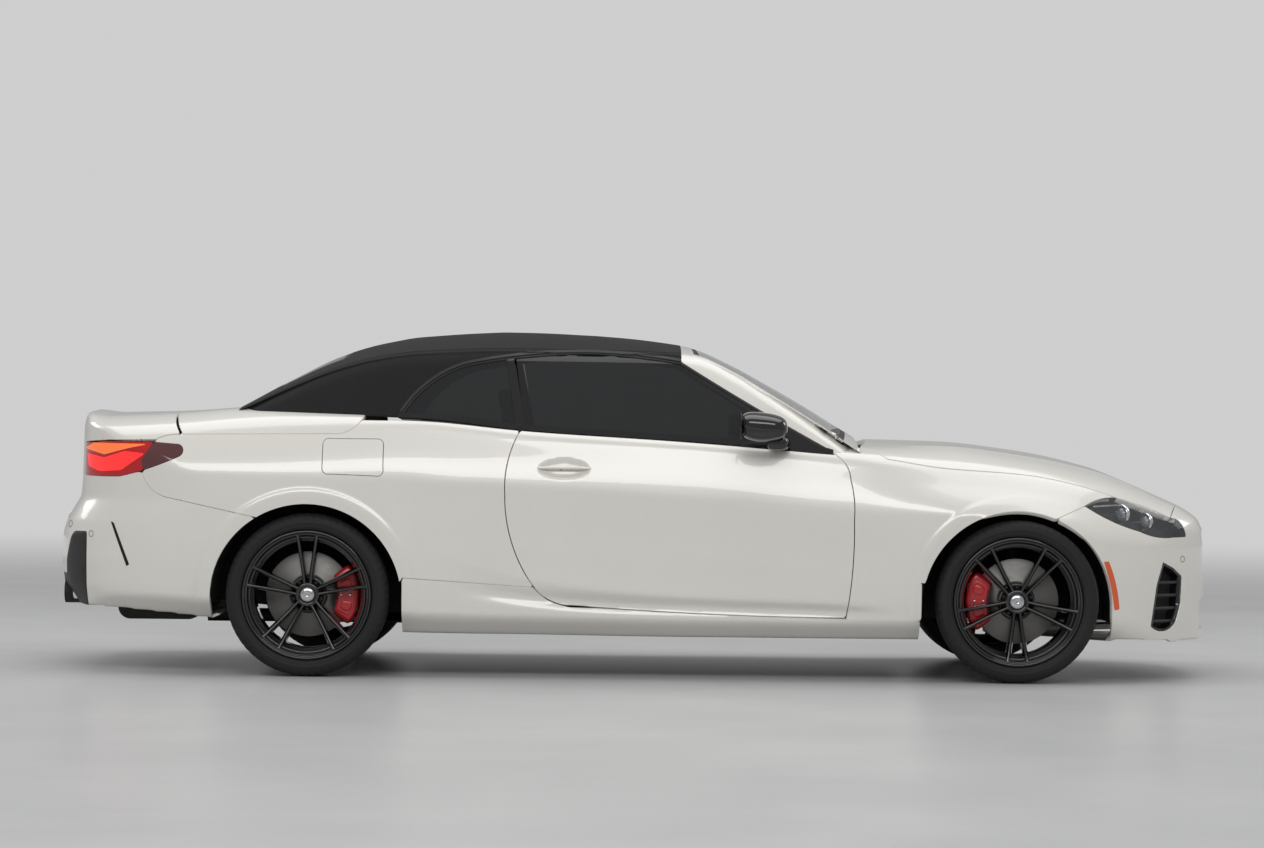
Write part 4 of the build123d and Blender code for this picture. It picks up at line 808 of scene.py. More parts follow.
def mesh_object(name: str, patch: Patch, finish: bpy.types.Material) -> bpy.types.Object:
    """Puts a patch in Blender in metres, smooth-shaded, with its parameters as the UV map.

    Args:
        name: the piece's name.
        patch: points and faces in millimetres.
        finish: its material.

    Returns:
        The new object at the origin.
    """
    mesh = bpy.data.meshes.new(name)
    faces = [f for f in patch.faces if len(f)]
    sizes = np.concatenate([np.full(len(f), f.shape[1]) for f in faces]).astype(np.int32)
    corners = np.concatenate([f.ravel() for f in faces]).astype(np.int32)
    mesh.vertices.add(len(patch.points))
    mesh.vertices.foreach_set("co", (patch.points * MM).astype(np.float32).ravel())
    mesh.loops.add(len(corners))
    mesh.loops.foreach_set("vertex_index", corners)
    mesh.polygons.add(len(sizes))
    mesh.polygons.foreach_set("loop_start", np.concatenate([[0], np.cumsum(sizes)[:-1]]).astype(np.int32))
    mesh.update(calc_edges=True)
    mesh.polygons.foreach_set("use_smooth", np.ones(len(sizes), bool))
    layer = mesh.uv_layers.new(name="UVMap")
    layer.data.foreach_set("uv", patch.uv[corners].astype(np.float32).ravel())
    if patch.crisp is not None:
        pairs = np.zeros(len(mesh.edges) * 2, np.int32)
        mesh.edges.foreach_get("vertices", pairs)
        lo, hi = np.sort(pairs.reshape(-1, 2), 1).T
        c_lo, c_hi = np.sort(patch.crisp, 1).T
        n = len(patch.points)
        mark = mesh.attributes.new("sharp_edge", "BOOLEAN", "EDGE")
        mark.data.foreach_set("value", np.isin(lo.astype(np.int64) * n + hi, c_lo * n + c_hi))
    mesh.materials.append(finish)
    mesh.validate()
    obj = bpy.data.objects.new(name, mesh)
    bpy.context.scene.collection.objects.link(obj)
    return obj


def grid_faces(nu: int, nv: int, wrap_u: bool = False, wrap_v: bool = False) -> Array:
    """Quads of a grid of nu by nv points, closed round either way if asked."""
    i, j = np.meshgrid(
        np.arange(nu if wrap_u else nu - 1), np.arange(nv if wrap_v else nv - 1), indexing="ij"
    )
    i2, j2 = (i + 1) % nu, (j + 1) % nv
    return np.stack([i * nv + j, i2 * nv + j, i2 * nv + j2, i * nv + j2], -1).reshape(-1, 4)


def gridded(
    x: Array, y: Array, z: Array, wrap_u: bool = False, wrap_v: bool = False, flip: bool = False
) -> Patch:
    """A patch from three grids of coordinates; the grid's own steps are its parameters."""
    nu, nv = x.shape
    u, v = np.meshgrid(np.linspace(0, 1, nu), np.linspace(0, 1, nv), indexing="ij")
    f = grid_faces(nu, nv, wrap_u, wrap_v)
    points = np.stack([g.ravel() for g in (x, y, z)], 1).astype(float)
    return Patch(points, [f[:, ::-1] if flip else f], np.stack([u.ravel(), v.ravel()], 1))


def turned(profile: Sequence[Pair], count: int) -> Patch:
    """A profile of (radius, along) points turned about the Y axis: a circle of each radius at each place."""
    r, s = np.array(profile, float).T
    a = np.linspace(0, 2 * math.pi, count, endpoint=False)
    x, z = np.outer(np.cos(a), r), np.outer(np.sin(a), r)
    return gridded(x, np.tile(s, (count, 1)), z, wrap_u=True)


def tube(
    path: Array, radius: Array | float, around: int = 10, closed: bool = False, flat: float = 1.0
) -> Patch:
    """A round or flattened bar carried along a path, with its ends closed.

    Args:
        path: points of the middle line.
        radius: its radius, one value or one per point.
        around: points round it.
        closed: whether the path comes back to its start.
        flat: height of the section over its width.

    Returns:
        The bar.
    """
    path = np.asarray(path, float)
    r = np.broadcast_to(np.asarray(radius, float), (len(path),)).copy()
    t = np.roll(path, -1, 0) - np.roll(path, 1, 0) if closed else np.gradient(path, axis=0)
    t /= np.maximum(np.linalg.norm(t, axis=1, keepdims=True), 1e-9)
    up = np.array([0.0, 0.0, 1.0]) if np.abs(t[:, 2]).mean() < 0.8 else np.array([0.0, 1.0, 0.0])
    side = np.cross(t, up)
    side /= np.maximum(np.linalg.norm(side, axis=1, keepdims=True), 1e-9)
    top = np.cross(side, t)
    if not closed:
        ends = [path[:1] - t[:1] * 0.01, path, path[-1:] + t[-1:] * 0.01]
        path = np.concatenate(ends)
        side, top = (np.pad(w, ((1, 1), (0, 0)), "edge") for w in (side, top))
        r = np.concatenate([[r[0] * 0.02], r, [r[-1] * 0.02]])
    a = np.linspace(0, 2 * math.pi, around, endpoint=False)
    ring = path[:, None] + r[:, None, None] * (
        np.cos(a)[None, :, None] * side[:, None] + flat * np.sin(a)[None, :, None] * top[:, None]
    )
    return gridded(*np.moveaxis(ring, -1, 0), wrap_u=closed, wrap_v=True)


def superellipsoid(power: float, count: int) -> tuple[Array, Array, Array]:
    """Unit grids of |x|^p + |y|^p + |z|^p = 1 by latitude and longitude, its poles gathered to points."""
    lat = np.linspace(-math.pi / 2, math.pi / 2, count + 1)
    lon = np.linspace(0, 2 * math.pi, 2 * count, endpoint=False)
    la, lo = np.meshgrid(lat, lon, indexing="ij")
    bend = lambda w: np.sign(w) * np.abs(w) ** (2.0 / power)
    return bend(np.cos(la)) * bend(np.cos(lo)), bend(np.cos(la)) * bend(np.sin(lo)), bend(np.sin(la))


def pillow_box(centre: Sequence[float], half: Sequence[float], power: float, count: int) -> Patch:
    """A closed box with soft edges, squarer as the power grows, of the given half-sizes."""
    x, y, z = (c + h * g for c, h, g in zip(centre, half, superellipsoid(power, count)))
    return gridded(x, y, z, wrap_v=True, flip=True)


# ------------------------------------------------------------------ finishes
class Tree:
    """A node tree being built: adds nodes and joins their sockets."""

    def __init__(self, tree: bpy.types.NodeTree) -> None:
        """Empties the tree."""
        self.tree = tree
        tree.nodes.clear()

    def add(self, kind: str, inputs: dict | None = None, **settings: object) -> bpy.types.Node:
        """Adds a node, sets its properties, and sets or links its inputs."""
        node = self.tree.nodes.new(kind)
        for key, value in settings.items():
            setattr(node, key, value)
        for key, value in (inputs or {}).items():
            self.put(node.inputs[key], value)
        return node

    def put(self, socket: bpy.types.NodeSocket, value: object) -> None:
        """Links a socket to another, or sets its plain value."""
        if isinstance(value, bpy.types.NodeSocket):
            self.tree.links.new(value, socket)
        else:
            socket.default_value = value

    def ramp(
        self, fac: bpy.types.NodeSocket, stops: Sequence[tuple[float, Sequence[float]]]
    ) -> bpy.types.NodeSocket:
        """A colour ramp of the given stops on a factor."""
        node = self.add("ShaderNodeValToRGB", {"Fac": fac})
        ramp = node.color_ramp
        while len(ramp.elements) < len(stops):
            ramp.elements.new(0.5)
        for element, (place, colour) in zip(ramp.elements, stops):
            element.position, element.color = place, (*colour, 1.0)
        return node.outputs["Color"]

    def maths(self, operation: str, a: object, b: object = 0.0) -> bpy.types.NodeSocket:
        """The result of one sum on two numbers."""
        return self.add("ShaderNodeMath", {0: a, 1: b}, operation=operation).outputs[0]

    def mix(self, fac: object, a: object, b: object) -> bpy.types.NodeSocket:
        """One colour mixed into another."""
        node = self.add("ShaderNodeMix", data_type="RGBA")
        for key, value in (("Factor", fac), ("A", a), ("B", b)):
            self.put(next(s for s in node.inputs if s.name == key and s.enabled), value)
        return next(s for s in node.outputs if s.enabled)


def group(
    name: str, inputs: Sequence[tuple[str, str, object]], outputs: Sequence[tuple[str, str]]
) -> tuple[Tree, dict, dict]:
    """Starts a shader node group with named sockets.

    Args:
        name: the group's name.
        inputs: name, socket type and default of each input.
        outputs: name and socket type of each output.

    Returns:
        The tree, the input sockets by name, and the output sockets by name.
    """
    tree = bpy.data.node_groups.new(name, "ShaderNodeTree")
    for key, kind, default in inputs:
        socket = tree.interface.new_socket(name=key, in_out="INPUT", socket_type=kind)
        socket.default_value = default
    for key, kind in outputs:
        tree.interface.new_socket(name=key, in_out="OUTPUT", socket_type=kind)
    t = Tree(tree)
    inside, outside = t.add("NodeGroupInput"), t.add("NodeGroupOutput")
    return t, {s.name: s for s in inside.outputs}, {s.name: s for s in outside.inputs}


VALUE, COLOUR = "NodeSocketFloat", "NodeSocketColor"


class Effects:
    """The shader groups that several finishes share, each built once."""

    def __init__(self) -> None:
        """Builds the dust, grain, weave and wear groups."""
        self.dust = self.make_dust()
        self.grain = self.make_grain()
        self.weave = self.make_weave()
        self.wear = self.make_wear()

    def make_dust(self) -> bpy.types.NodeTree:
        """Road dust: a cloudy film that is stronger low on the car."""
        t, i, o = group(
            "RoadDust",
            [
                ("Color", COLOUR, (1, 1, 1, 1)),
                ("Dust", COLOUR, (0.32, 0.29, 0.25, 1)),
                ("Amount", VALUE, 0.1),
                ("Roughness", VALUE, 0.3),
            ],
            [("Color", COLOUR), ("Roughness", VALUE)],
        )
        place = t.add("ShaderNodeTexCoord").outputs["Object"]
        noise = t.add("ShaderNodeTexNoise", {"Vector": place, "Scale": 6.0, "Detail": 8.0}).outputs["Fac"]
        height = t.add("ShaderNodeSeparateXYZ", {0: place}).outputs["Z"]
        low = t.add("ShaderNodeMapRange", {0: height, 1: 0.05, 2: 0.55, 3: 1.0, 4: 0.06}).outputs[0]
        film = t.maths("MULTIPLY", t.maths("MULTIPLY", noise, low), i["Amount"])
        t.put(o["Color"], t.mix(film, i["Color"], i["Dust"]))
        t.put(o["Roughness"], t.maths("ADD", i["Roughness"], t.maths("MULTIPLY", film, 0.6)))
        return t.tree

    def make_grain(self) -> bpy.types.NodeTree:
        """Moulded grain: small rounded cells as a height."""
        t, i, o = group("MouldedGrain", [("Scale", VALUE, 700.0)], [("Height", VALUE)])
        place = t.add("ShaderNodeTexCoord").outputs["Object"]
        cells = t.add("ShaderNodeTexVoronoi", {"Vector": place, "Scale": i["Scale"]}).outputs["Distance"]
        t.put(o["Height"], cells)
        return t.tree

    def make_weave(self) -> bpy.types.NodeTree:
        """Plain weave: crossed threads on the piece's own UV map, as a height and a thread mask."""
        t, i, o = group("PlainWeave", [("Pitch", VALUE, 1.4)], [("Height", VALUE), ("Thread", VALUE)])
        place = t.add("ShaderNodeUVMap").outputs["UV"]
        parts = t.add("ShaderNodeSeparateXYZ", {0: place})
        turns = t.maths("DIVIDE", 2 * math.pi, i["Pitch"])
        warp = t.maths("SINE", t.maths("MULTIPLY", parts.outputs["X"], turns))
        weft = t.maths("SINE", t.maths("MULTIPLY", parts.outputs["Y"], turns))
        t.put(o["Height"], t.maths("MULTIPLY", warp, weft))
        speck = t.add("ShaderNodeTexNoise", {"Vector": place, "Scale": 0.35, "Detail": 4.0}).outputs["Fac"]
        t.put(o["Thread"], speck)
        return t.tree

    def make_wear(self) -> bpy.types.NodeTree:
        """Fine wear: scattered soft scuffs and streaks as a mask for roughness."""
        t, i, o = group(
            "FineWear",
            [("Scale", VALUE, 30.0), ("Amount", VALUE, 0.1), ("Roughness", VALUE, 0.2)],
            [("Roughness", VALUE), ("Height", VALUE)],
        )
        place = t.add("ShaderNodeTexCoord").outputs["Object"]
        streak = t.add("ShaderNodeMapping", {"Vector": place, "Scale": (1.0, 1.0, 3.0)}).outputs[0]
        noise = t.add(
            "ShaderNodeTexNoise", {"Vector": streak, "Scale": i["Scale"], "Detail": 9.0, "Roughness": 0.6}
        ).outputs["Fac"]
        centred = t.maths("SUBTRACT", noise, 0.5)
        t.put(o["Roughness"], t.maths("ADD", i["Roughness"], t.maths("MULTIPLY", centred, i["Amount"])))
        t.put(o["Height"], noise)
        return t.tree


@dataclass(frozen=True)
class Finish:
    """A surface finish: plain shader numbers, and how the shared effects are laid over it."""

    name: str
    colour: Triple
    roughness: float = 0.4
    metallic: float = 0.0
    coat: float = 0.0
    coat_rough: float = 0.03
    ior: float = 1.5
    sheen: float = 0.0
    transmission: float = 0.0
    alpha: float = 1.0
    dust: float = 0.0
    grain: float = 0.0
    grain_scale: float = 700.0
    weave: float = 0.0
    wear: float = 0.06
    mottle: float = 0.06
    glow: float = 0.0
    flake: float = 0.0

    def build(self, effects: Effects) -> bpy.types.Material:
        """Makes the Blender material.

        Args:
            effects: the shared groups.

        Returns:
            The material.
        """
        material = bpy.data.materials.new(self.name)
        material.use_nodes = True
        t = Tree(material.node_tree)
        place = t.add("ShaderNodeTexCoord").outputs["Object"]
        base = (*self.colour, 1.0)
        cloud = t.add("ShaderNodeTexNoise", {"Vector": place, "Scale": 3.2, "Detail": 6.0}).outputs["Fac"]
        dark = tuple(c * (1 - self.mottle) for c in self.colour)
        light = tuple(min(c * (1 + self.mottle), 1.0) for c in self.colour)
        colour = t.ramp(cloud, [(0.3, dark), (0.7, light)])
        wear = t.add("ShaderNodeGroup", node_tree=effects.wear)
        wear.inputs["Roughness"].default_value = self.roughness
        wear.inputs["Amount"].default_value = self.wear
        rough, height = wear.outputs["Roughness"], wear.outputs["Height"]
        strength, distance = 0.02, 0.0006
        if self.flake:
            spark = t.add("ShaderNodeTexVoronoi", {"Vector": place, "Scale": 900.0}).outputs["Color"]
            level = t.add("ShaderNodeSeparateColor", {0: spark}).outputs[0]
            bright = t.maths("MULTIPLY", t.maths("GREATER_THAN", level, 0.72), self.flake)
            colour = t.mix(bright, colour, (*(min(c * 1.12, 1.0) for c in self.colour), 1.0))
        if self.grain:
            grain = t.add("ShaderNodeGroup", node_tree=effects.grain)
            grain.inputs["Scale"].default_value = self.grain_scale
            height, strength, distance = grain.outputs["Height"], self.grain, 0.0008
        if self.weave:
            weave = t.add("ShaderNodeGroup", node_tree=effects.weave)
            weave.inputs["Pitch"].default_value = self.weave
            height, strength, distance = weave.outputs["Height"], 0.55, 0.0006
            colour = t.mix(weave.outputs["Thread"], colour, (*(c * 1.9 for c in self.colour), 1.0))
        if self.dust:
            dust = t.add("ShaderNodeGroup", {"Color": colour, "Roughness": rough}, node_tree=effects.dust)
            dust.inputs["Amount"].default_value = self.dust
            colour, rough = dust.outputs["Color"], dust.outputs["Roughness"]
        bump = t.add("ShaderNodeBump", {"Height": height})
        bump.inputs["Strength"].default_value = strength
        bump.inputs["Distance"].default_value = distance
        shader = t.add(
            "ShaderNodeBsdfPrincipled", {"Base Color": colour, "Roughness": rough, "Normal": bump.outputs[0]}
        )
        plain = {
            "Metallic": self.metallic,
            "Coat Weight": self.coat,
            "Coat Roughness": self.coat_rough,
            "IOR": self.ior,
            "Sheen Weight": self.sheen,
            "Transmission Weight": self.transmission,
            "Alpha": self.alpha,
        }
        for key, value in plain.items():
            shader.inputs[key].default_value = value
        if self.glow:
            shader.inputs["Emission Color"].default_value = base
            shader.inputs["Emission Strength"].default_value = self.glow
        t.add("ShaderNodeOutputMaterial", {"Surface": shader.outputs[0]})
        material.diffuse_color = base
        return material


class Look(Enum):
    """Every finish on the car."""

    PAINT = Finish(
        "PearlPaint", (0.79, 0.768, 0.715), 0.28, 0.05, 0.9, dust=0.0, wear=0.02, mottle=0.012, flake=0.35
    )
    CLOTH = Finish("TopCloth", (0.0035, 0.0035, 0.004), 0.9, sheen=0.015, weave=1.6, wear=0.1, mottle=0.12)
    CLOTH_EDGE = Finish("TopBinding", (0.004, 0.004, 0.0045), 0.7, weave=1.1, wear=0.1)
    TINT = Finish("TintedGlass", (0.016, 0.017, 0.018), 0.03, ior=1.5, alpha=0.90, wear=0.01, mottle=0.02)
    CLEAR = Finish("ClearGlass", (0.17, 0.19, 0.20), 0.02, ior=1.45, alpha=0.45, wear=0.01, mottle=0.01)
    GLOSS = Finish("GlossBlack", (0.006, 0.006, 0.007), 0.10, coat=0.6, wear=0.05, mottle=0.2)
    RIM = Finish("WheelBlack", (0.005, 0.005, 0.0055), 0.12, 0.1, 0.8, wear=0.05, mottle=0.2)
    PLASTIC = Finish("GrainedBlack", (0.014, 0.014, 0.015), 0.55, grain=0.35, dust=0.16, mottle=0.15)
    DARK = Finish(
        "Underseal", (0.006, 0.006, 0.006), 0.85, grain=0.3, grain_scale=300.0, dust=0.1, mottle=0.3
    )
    RUBBER = Finish(
        "TyreRubber", (0.0055, 0.0055, 0.006), 0.72, grain=0.18, grain_scale=900.0, dust=0.03, mottle=0.12
    )
    # black seal rubber; the same dark finish also serves as the painted shade behind each door handle
    SEAL_AND_SHADE = Finish("SealRubberAndShade", (0.008, 0.008, 0.008), 0.5, grain=0.1, mottle=0.1)
    CALIPER = Finish("CaliperRed", (0.47, 0.008, 0.012), 0.3, 0.1, 0.5, wear=0.1, dust=0.08, mottle=0.05)
    DISC = Finish("DiscIron", (0.20, 0.195, 0.185), 0.42, 0.6, wear=0.3, mottle=0.1)
    CAST = Finish(
        "CastIron", (0.025, 0.024, 0.023), 0.6, 0.7, grain=0.2, grain_scale=500.0, mottle=0.2, dust=0.1
    )
    STEEL = Finish("BrightSteel", (0.62, 0.62, 0.61), 0.2, 1.0, wear=0.2, mottle=0.05)
    CHROME = Finish("Chrome", (0.80, 0.80, 0.80), 0.06, 1.0, wear=0.04, mottle=0.02)
    RED_LENS = Finish("RedLens", (0.58, 0.006, 0.010), 0.06, coat=0.8, wear=0.02, mottle=0.08, alpha=0.9)
    SMOKE_LENS = Finish("SmokedLens", (0.11, 0.030, 0.032), 0.07, coat=0.8, wear=0.02, mottle=0.1, alpha=0.96)
    RED_LIGHT = Finish("RedLight", (1.0, 0.03, 0.03), 0.2, glow=0.55, mottle=0.02)
    AMBER_LIGHT = Finish("AmberLight", (1.0, 0.20, 0.05), 0.2, glow=0.35, mottle=0.02)
    AMBER = Finish("AmberLens", (0.75, 0.11, 0.02), 0.12, coat=0.7, wear=0.03, mottle=0.05)
    LAMP_LENS = Finish("LampLens", (0.22, 0.23, 0.24), 0.02, ior=1.5, alpha=0.28, wear=0.01, mottle=0.01)
    LAMP_BOWL = Finish("LampBowl", (0.016, 0.017, 0.018), 0.22, 0.3, 0.4, mottle=0.2)
    PROJECTOR = Finish("ProjectorGlass", (0.35, 0.38, 0.42), 0.03, 0.3, 1.0, mottle=0.05)
    LEATHER = Finish(
        "SeatLeather", (0.022, 0.021, 0.021), 0.5, grain=0.3, grain_scale=420.0, mottle=0.15, wear=0.2
    )
    TRIM = Finish("CabinTrim", (0.018, 0.018, 0.019), 0.6, grain=0.3, grain_scale=600.0, mottle=0.15)
    MIRROR = Finish("MirrorGlass", (0.7, 0.72, 0.74), 0.02, 1.0, wear=0.01, mottle=0.01)
    ALLOY = Finish(
        "EngineAlloy", (0.22, 0.22, 0.22), 0.5, 0.8, grain=0.2, grain_scale=300.0, mottle=0.2, dust=0.1
    )
    PLATE = Finish("BlankPlate", (0.62, 0.62, 0.60), 0.35, coat=0.3, grain=0.05, mottle=0.03)
    CAP = Finish("HubCap", (0.52, 0.53, 0.54), 0.18, 0.9, 0.6, wear=0.1, mottle=0.05)


class Finishes:
    """The built materials by look."""

    def __init__(self) -> None:
        """Builds every look once."""
        effects = Effects()
        self.made = {look: look.value.build(effects) for look in Look}

    def __getitem__(self, look: Look) -> bpy.types.Material:
        """The material of a look."""
        return self.made[look]


# ------------------------------------------------------------------ putting pieces in
@dataclass
class Shop:
    """What every sub-assembly needs to put its pieces in the scene."""

    finishes: Finishes
    counted: int = 0

    def put(
        self,
        name: str,
        patch: Patch,
        look: Look,
        body: str = "body",
        replaces: Sequence[str] = (),
        slot: str | None = None,
    ) -> bpy.types.Object:
        """Adds one piece, makes it ride on its body and logs it.

        Args:
            name: the piece's name.
            patch: its surface.
            look: its finish.
            body: the CAD body that it moves with.
            replaces: CAD nodes that it stands for.
            slot: a material slot's name; not used.

        Returns:
            The new object.
        """
        obj = mesh_object(name, patch, self.finishes[look])
        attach(obj, body)
        if replaces:
            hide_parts(*replaces)
        tris = sum(len(f) * (f.shape[1] - 2) for f in patch.faces if len(f))
        self.counted += tris
        LOG.info("piece %s on %s, %d triangles", name, body, tris)
        return obj

    def pair(
        self,
        name: str,
        patch: Patch,
        look: Look,
        bodies: tuple[str, str] = ("body", "body"),
        replaces: Sequence[str] = (),
        slot: str | None = None,
    ) -> None:
        """Adds a right-hand piece and its mirror image on the left, each on its own body."""
        for k, (label, one) in enumerate(zip(both_sides(name), (patch, patch.other_side()))):
            self.put(label, one, look, bodies[k], replaces[k : k + 1], slot)

    def dress(self, node: str, look: Look) -> None:
        """Gives a CAD node that stays its finish."""
        mesh = bpy.data.objects[node].data
        mesh.materials.clear()
        mesh.materials.append(self.finishes[look])


def cells_of(u_span: Pair, v_span: Pair, step: Pair) -> tuple[int, int]:
    """How many cells of about one step each way fill two spans."""
    return tuple(max(2, round(abs(s[1] - s[0]) / d)) for s, d in zip((u_span, v_span), step))


def skin_panel(
    rays: Rays,
    region: Region,
    u_span: Pair,
    v_span: Pair,
    step: Pair,
    depth: float = 14.0,
    flip: bool = False,
) -> Patch:
    """A panel of the body's skin with its edges turned in.

    Args:
        rays: the family of lines that finds the skin.
        region: where the panel is.
        u_span: range of the first parameter.
        v_span: range of the second parameter.
        step: wanted cell size each way, in the parameters' own units.
        depth: how deep its edges turn in.
        flip: turns the faces round, where the parameters run the other way.

    Returns:
        The panel, its border crisp.
    """
    patch = trimmed(
        lambda u, v: BODY.skin(rays, u, v), region, u_span, v_span, cells_of(u_span, v_span, step)
    )
    return with_return(patch.turned_over() if flip else patch, depth)


# ------------------------------------------------------------------ body panels
@dataclass
class BodyPanels:
    """The painted skin: doors, fenders, quarters, sills, lids and bumpers, cut from one form."""

    shop: Shop
    shut: float = 4.2  # gap round a moving panel
    seam: float = 1.6  # gap between fixed panels
    edge: float = 0.9  # how far a moving panel stops inside its outline
    section_step: Pair = (8.0, 0.5)
    end_step: Pair = (0.7, 8.0)

    def build(self) -> None:
        """Makes every panel on both sides."""
        self.doors()
        self.fenders()
        self.quarters()
        self.sills()
        self.hood()
        self.deck()
        self.bumpers()
        self.cowl()

    def doors(self) -> None:
        """The door skins, closed over a boxed back."""
        skin = skin_panel(
            Rays.SECTION,
            both_of(in_side(DOOR, -self.edge), self.under_belt(2)),
            (-540, 890),
            (-26, 40),
            self.section_step,
            15,
        )
        self.shop.pair("door_skin", skin, Look.PAINT, DOORS, DOORS, "paint")
        x, z = np.meshgrid(np.linspace(-455, 850, 60), np.linspace(282, 905, 36), indexing="ij")
        y = -BODY.side_y(x.ravel(), z.ravel()).reshape(x.shape) + 60 + 34 * ease(z, 860, 905)
        taper = 26 * (1 - ease(z, 282, 480))
        back = gridded(x + taper, np.maximum(y, -852), z, flip=True)
        self.shop.pair("door_lining", back, Look.TRIM, DOORS)

    @staticmethod
    def under_belt(drop: float) -> Region:
        """The region outside the glass's foot along the belt."""
        return lambda p: np.where(
            (p[:, 0] > -1560) & (p[:, 0] < 905),
            GREENHOUSE.surface(p[:, 0], np.full(len(p), -2.0))[:, 1] * -1 - drop - np.abs(p[:, 1]),
            -99.0,
        )

    def fenders(self) -> None:
        """The front fenders, with the flat band round each arch."""
        outline = drawn(
            (700, 1100),
            [
                (700, 249), (1150, 249), (1150, 400), (1500, 400), (1500, 581), (1715, 673.6),
                (1813, 714.6), (2230, 714), (2230, 1100),
            ],
        )
        region = both_of(
            in_side(outline),
            not_in(in_side(DOOR, self.shut)),
            not_in(in_plan(HOOD, self.shut)),
            not_in(in_side(HEADLAMP, self.seam)),
            off_arch(FRONT_X),
            lambda p: 702 - np.abs(p[:, 1]) - 400 * (p[:, 0] > 1000),
        )
        skin = skin_panel(Rays.SECTION, region, (770, 2235), (-24, 52), self.section_step, 20)
        self.shop.pair("fender_skin", skin, Look.PAINT, replaces=both_sides("fender"), slot="paint")

    def quarters(self) -> None:
        """The rear quarters, with the fuel flap's opening in the right one."""
        shared = [
            behind(-400),
            ahead(-2262),
            not_in(in_side(DOOR, self.shut)),
            not_in(in_side(TONNEAU, self.seam)),
            not_in(in_side(TRUNK, self.shut)),
            not_in(in_side(TAIL_LAMP, self.seam)),
            not_in(in_side(REAR_BUMPER, self.seam)),
            not_in(in_side(SILL, self.seam)),
            off_arch(REAR_ARCH_X),
            self.under_belt(2),
            beyond(620),
        ]
        spans = ((-2270, -396), (-24, 40))
        plain = skin_panel(Rays.SECTION, both_of(*shared), *spans, self.section_step, 20)
        holed = skin_panel(
            Rays.SECTION, both_of(*shared, not_in(in_side(FUEL_FLAP, 1.8))), *spans, self.section_step, 20
        )
        self.shop.put("quarter_skin_right", holed, Look.PAINT, "body", ("quarter_right",), "paint")
        self.shop.put(
            "quarter_skin_left", plain.other_side(), Look.PAINT, "body", ("quarter_left",), "paint"
        )
        flap = skin_panel(Rays.SECTION, in_side(FUEL_FLAP, -2.2), (-1265, -1005), (10, 40), (6, 0.4), 3)
        self.shop.put("fuel_flap_skin", flap, Look.PAINT, "fuel_flap", ("fuel_flap",), "paint")

    def sills(self) -> None:
        """The sills, with the blade that stands out along their foot."""
        region = both_of(in_side(SILL, -self.seam), not_in(in_side(DOOR, self.shut)))
        skin = skin_panel(Rays.SECTION, region, (-940, 1150), (-26, -4), (12, 0.5), 24)
        both = joined(skin, skin.other_side())
        self.shop.put("sill_skins", both, Look.PAINT, "body", ("sills",), "paint")

    def hood(self) -> None:
        """The hood with its two lengthwise creases."""
        skin = skin_panel(Rays.PLAN, in_plan(HOOD, -self.edge), (905, 2272), (-825, 825), (12, 12), 20)
        self.shop.put("hood_skin", skin, Look.PAINT, "hood", ("hood",), "paint")

    def deck(self) -> None:
        """The boot lid, its rear face and corners, and the cover ahead of it."""

        def past_edge(p: Array) -> Array:
            """Below zero on the rear face: behind the line where the deck's lip turns down."""
            back = np.interp(np.abs(p[:, 1]), BODY.corner_y, BODY.tail_back)
            return p[:, 0] + 2238 + 50 * ease(p[:, 2], 985, 1015) - back

        lid_foot, face_half, corner_in = 700, TAIL_LAMP_IN - 3, 640
        over_lamp = in_side(TRUNK, -self.edge)
        lid = both_of(over_lamp, not_in(past_edge), above(lid_foot))
        skin = skin_panel(Rays.SECTION, lid, (-2300, -1830), (26, 154), (8, 0.6), 20)
        face_region = both_of(
            lambda p: np.minimum(
                np.abs(p[:, 1]) - face_half, np.maximum(np.abs(p[:, 1]) - corner_in, over_lamp(p))
            ),
            above(lid_foot),
            past_edge,
            not_in(rounded(*PLATE_WELL)),
        )
        face = skin_panel(Rays.TAIL, face_region, (-680, 680), (690, 1060), (9, 5), 16, flip=True)
        corner_region = both_of(over_lamp, past_edge, beyond(corner_in))
        corner = skin_panel(Rays.REAR, corner_region, (18, 162), (905, 1060), (0.5, 4), 16, flip=True)
        half, foot, top, _ = PLATE_WELL
        y, z = np.meshgrid([-half, half], [foot, top], indexing="ij")
        well = gridded(np.full((2, 2), WELL_X), y, z, flip=True)
        lid_all = joined(skin, face, corner, well)
        self.shop.put("boot_lid_skin", lid_all, Look.PAINT, "trunk_lid", ("trunk_lid",), "paint")
        plate = pillow_box((PLATE_X, 0, 800), (2.2, 255, 56), 14, 20)
        self.shop.put("number_plate_blank", plate, Look.PLATE, "trunk_lid")
        cover_region = both_of(
            in_side(TONNEAU, -self.seam), lambda p: np.where(p[:, 0] > -1565, 690 - np.abs(p[:, 1]), -99.0)
        )
        cover = skin_panel(Rays.SECTION, cover_region, (-1872, -1088), (28, 152), (8, 0.6), 16)
        self.shop.put("tonneau_skin", cover, Look.PAINT, "body", ("tonneau_cover",), "paint")

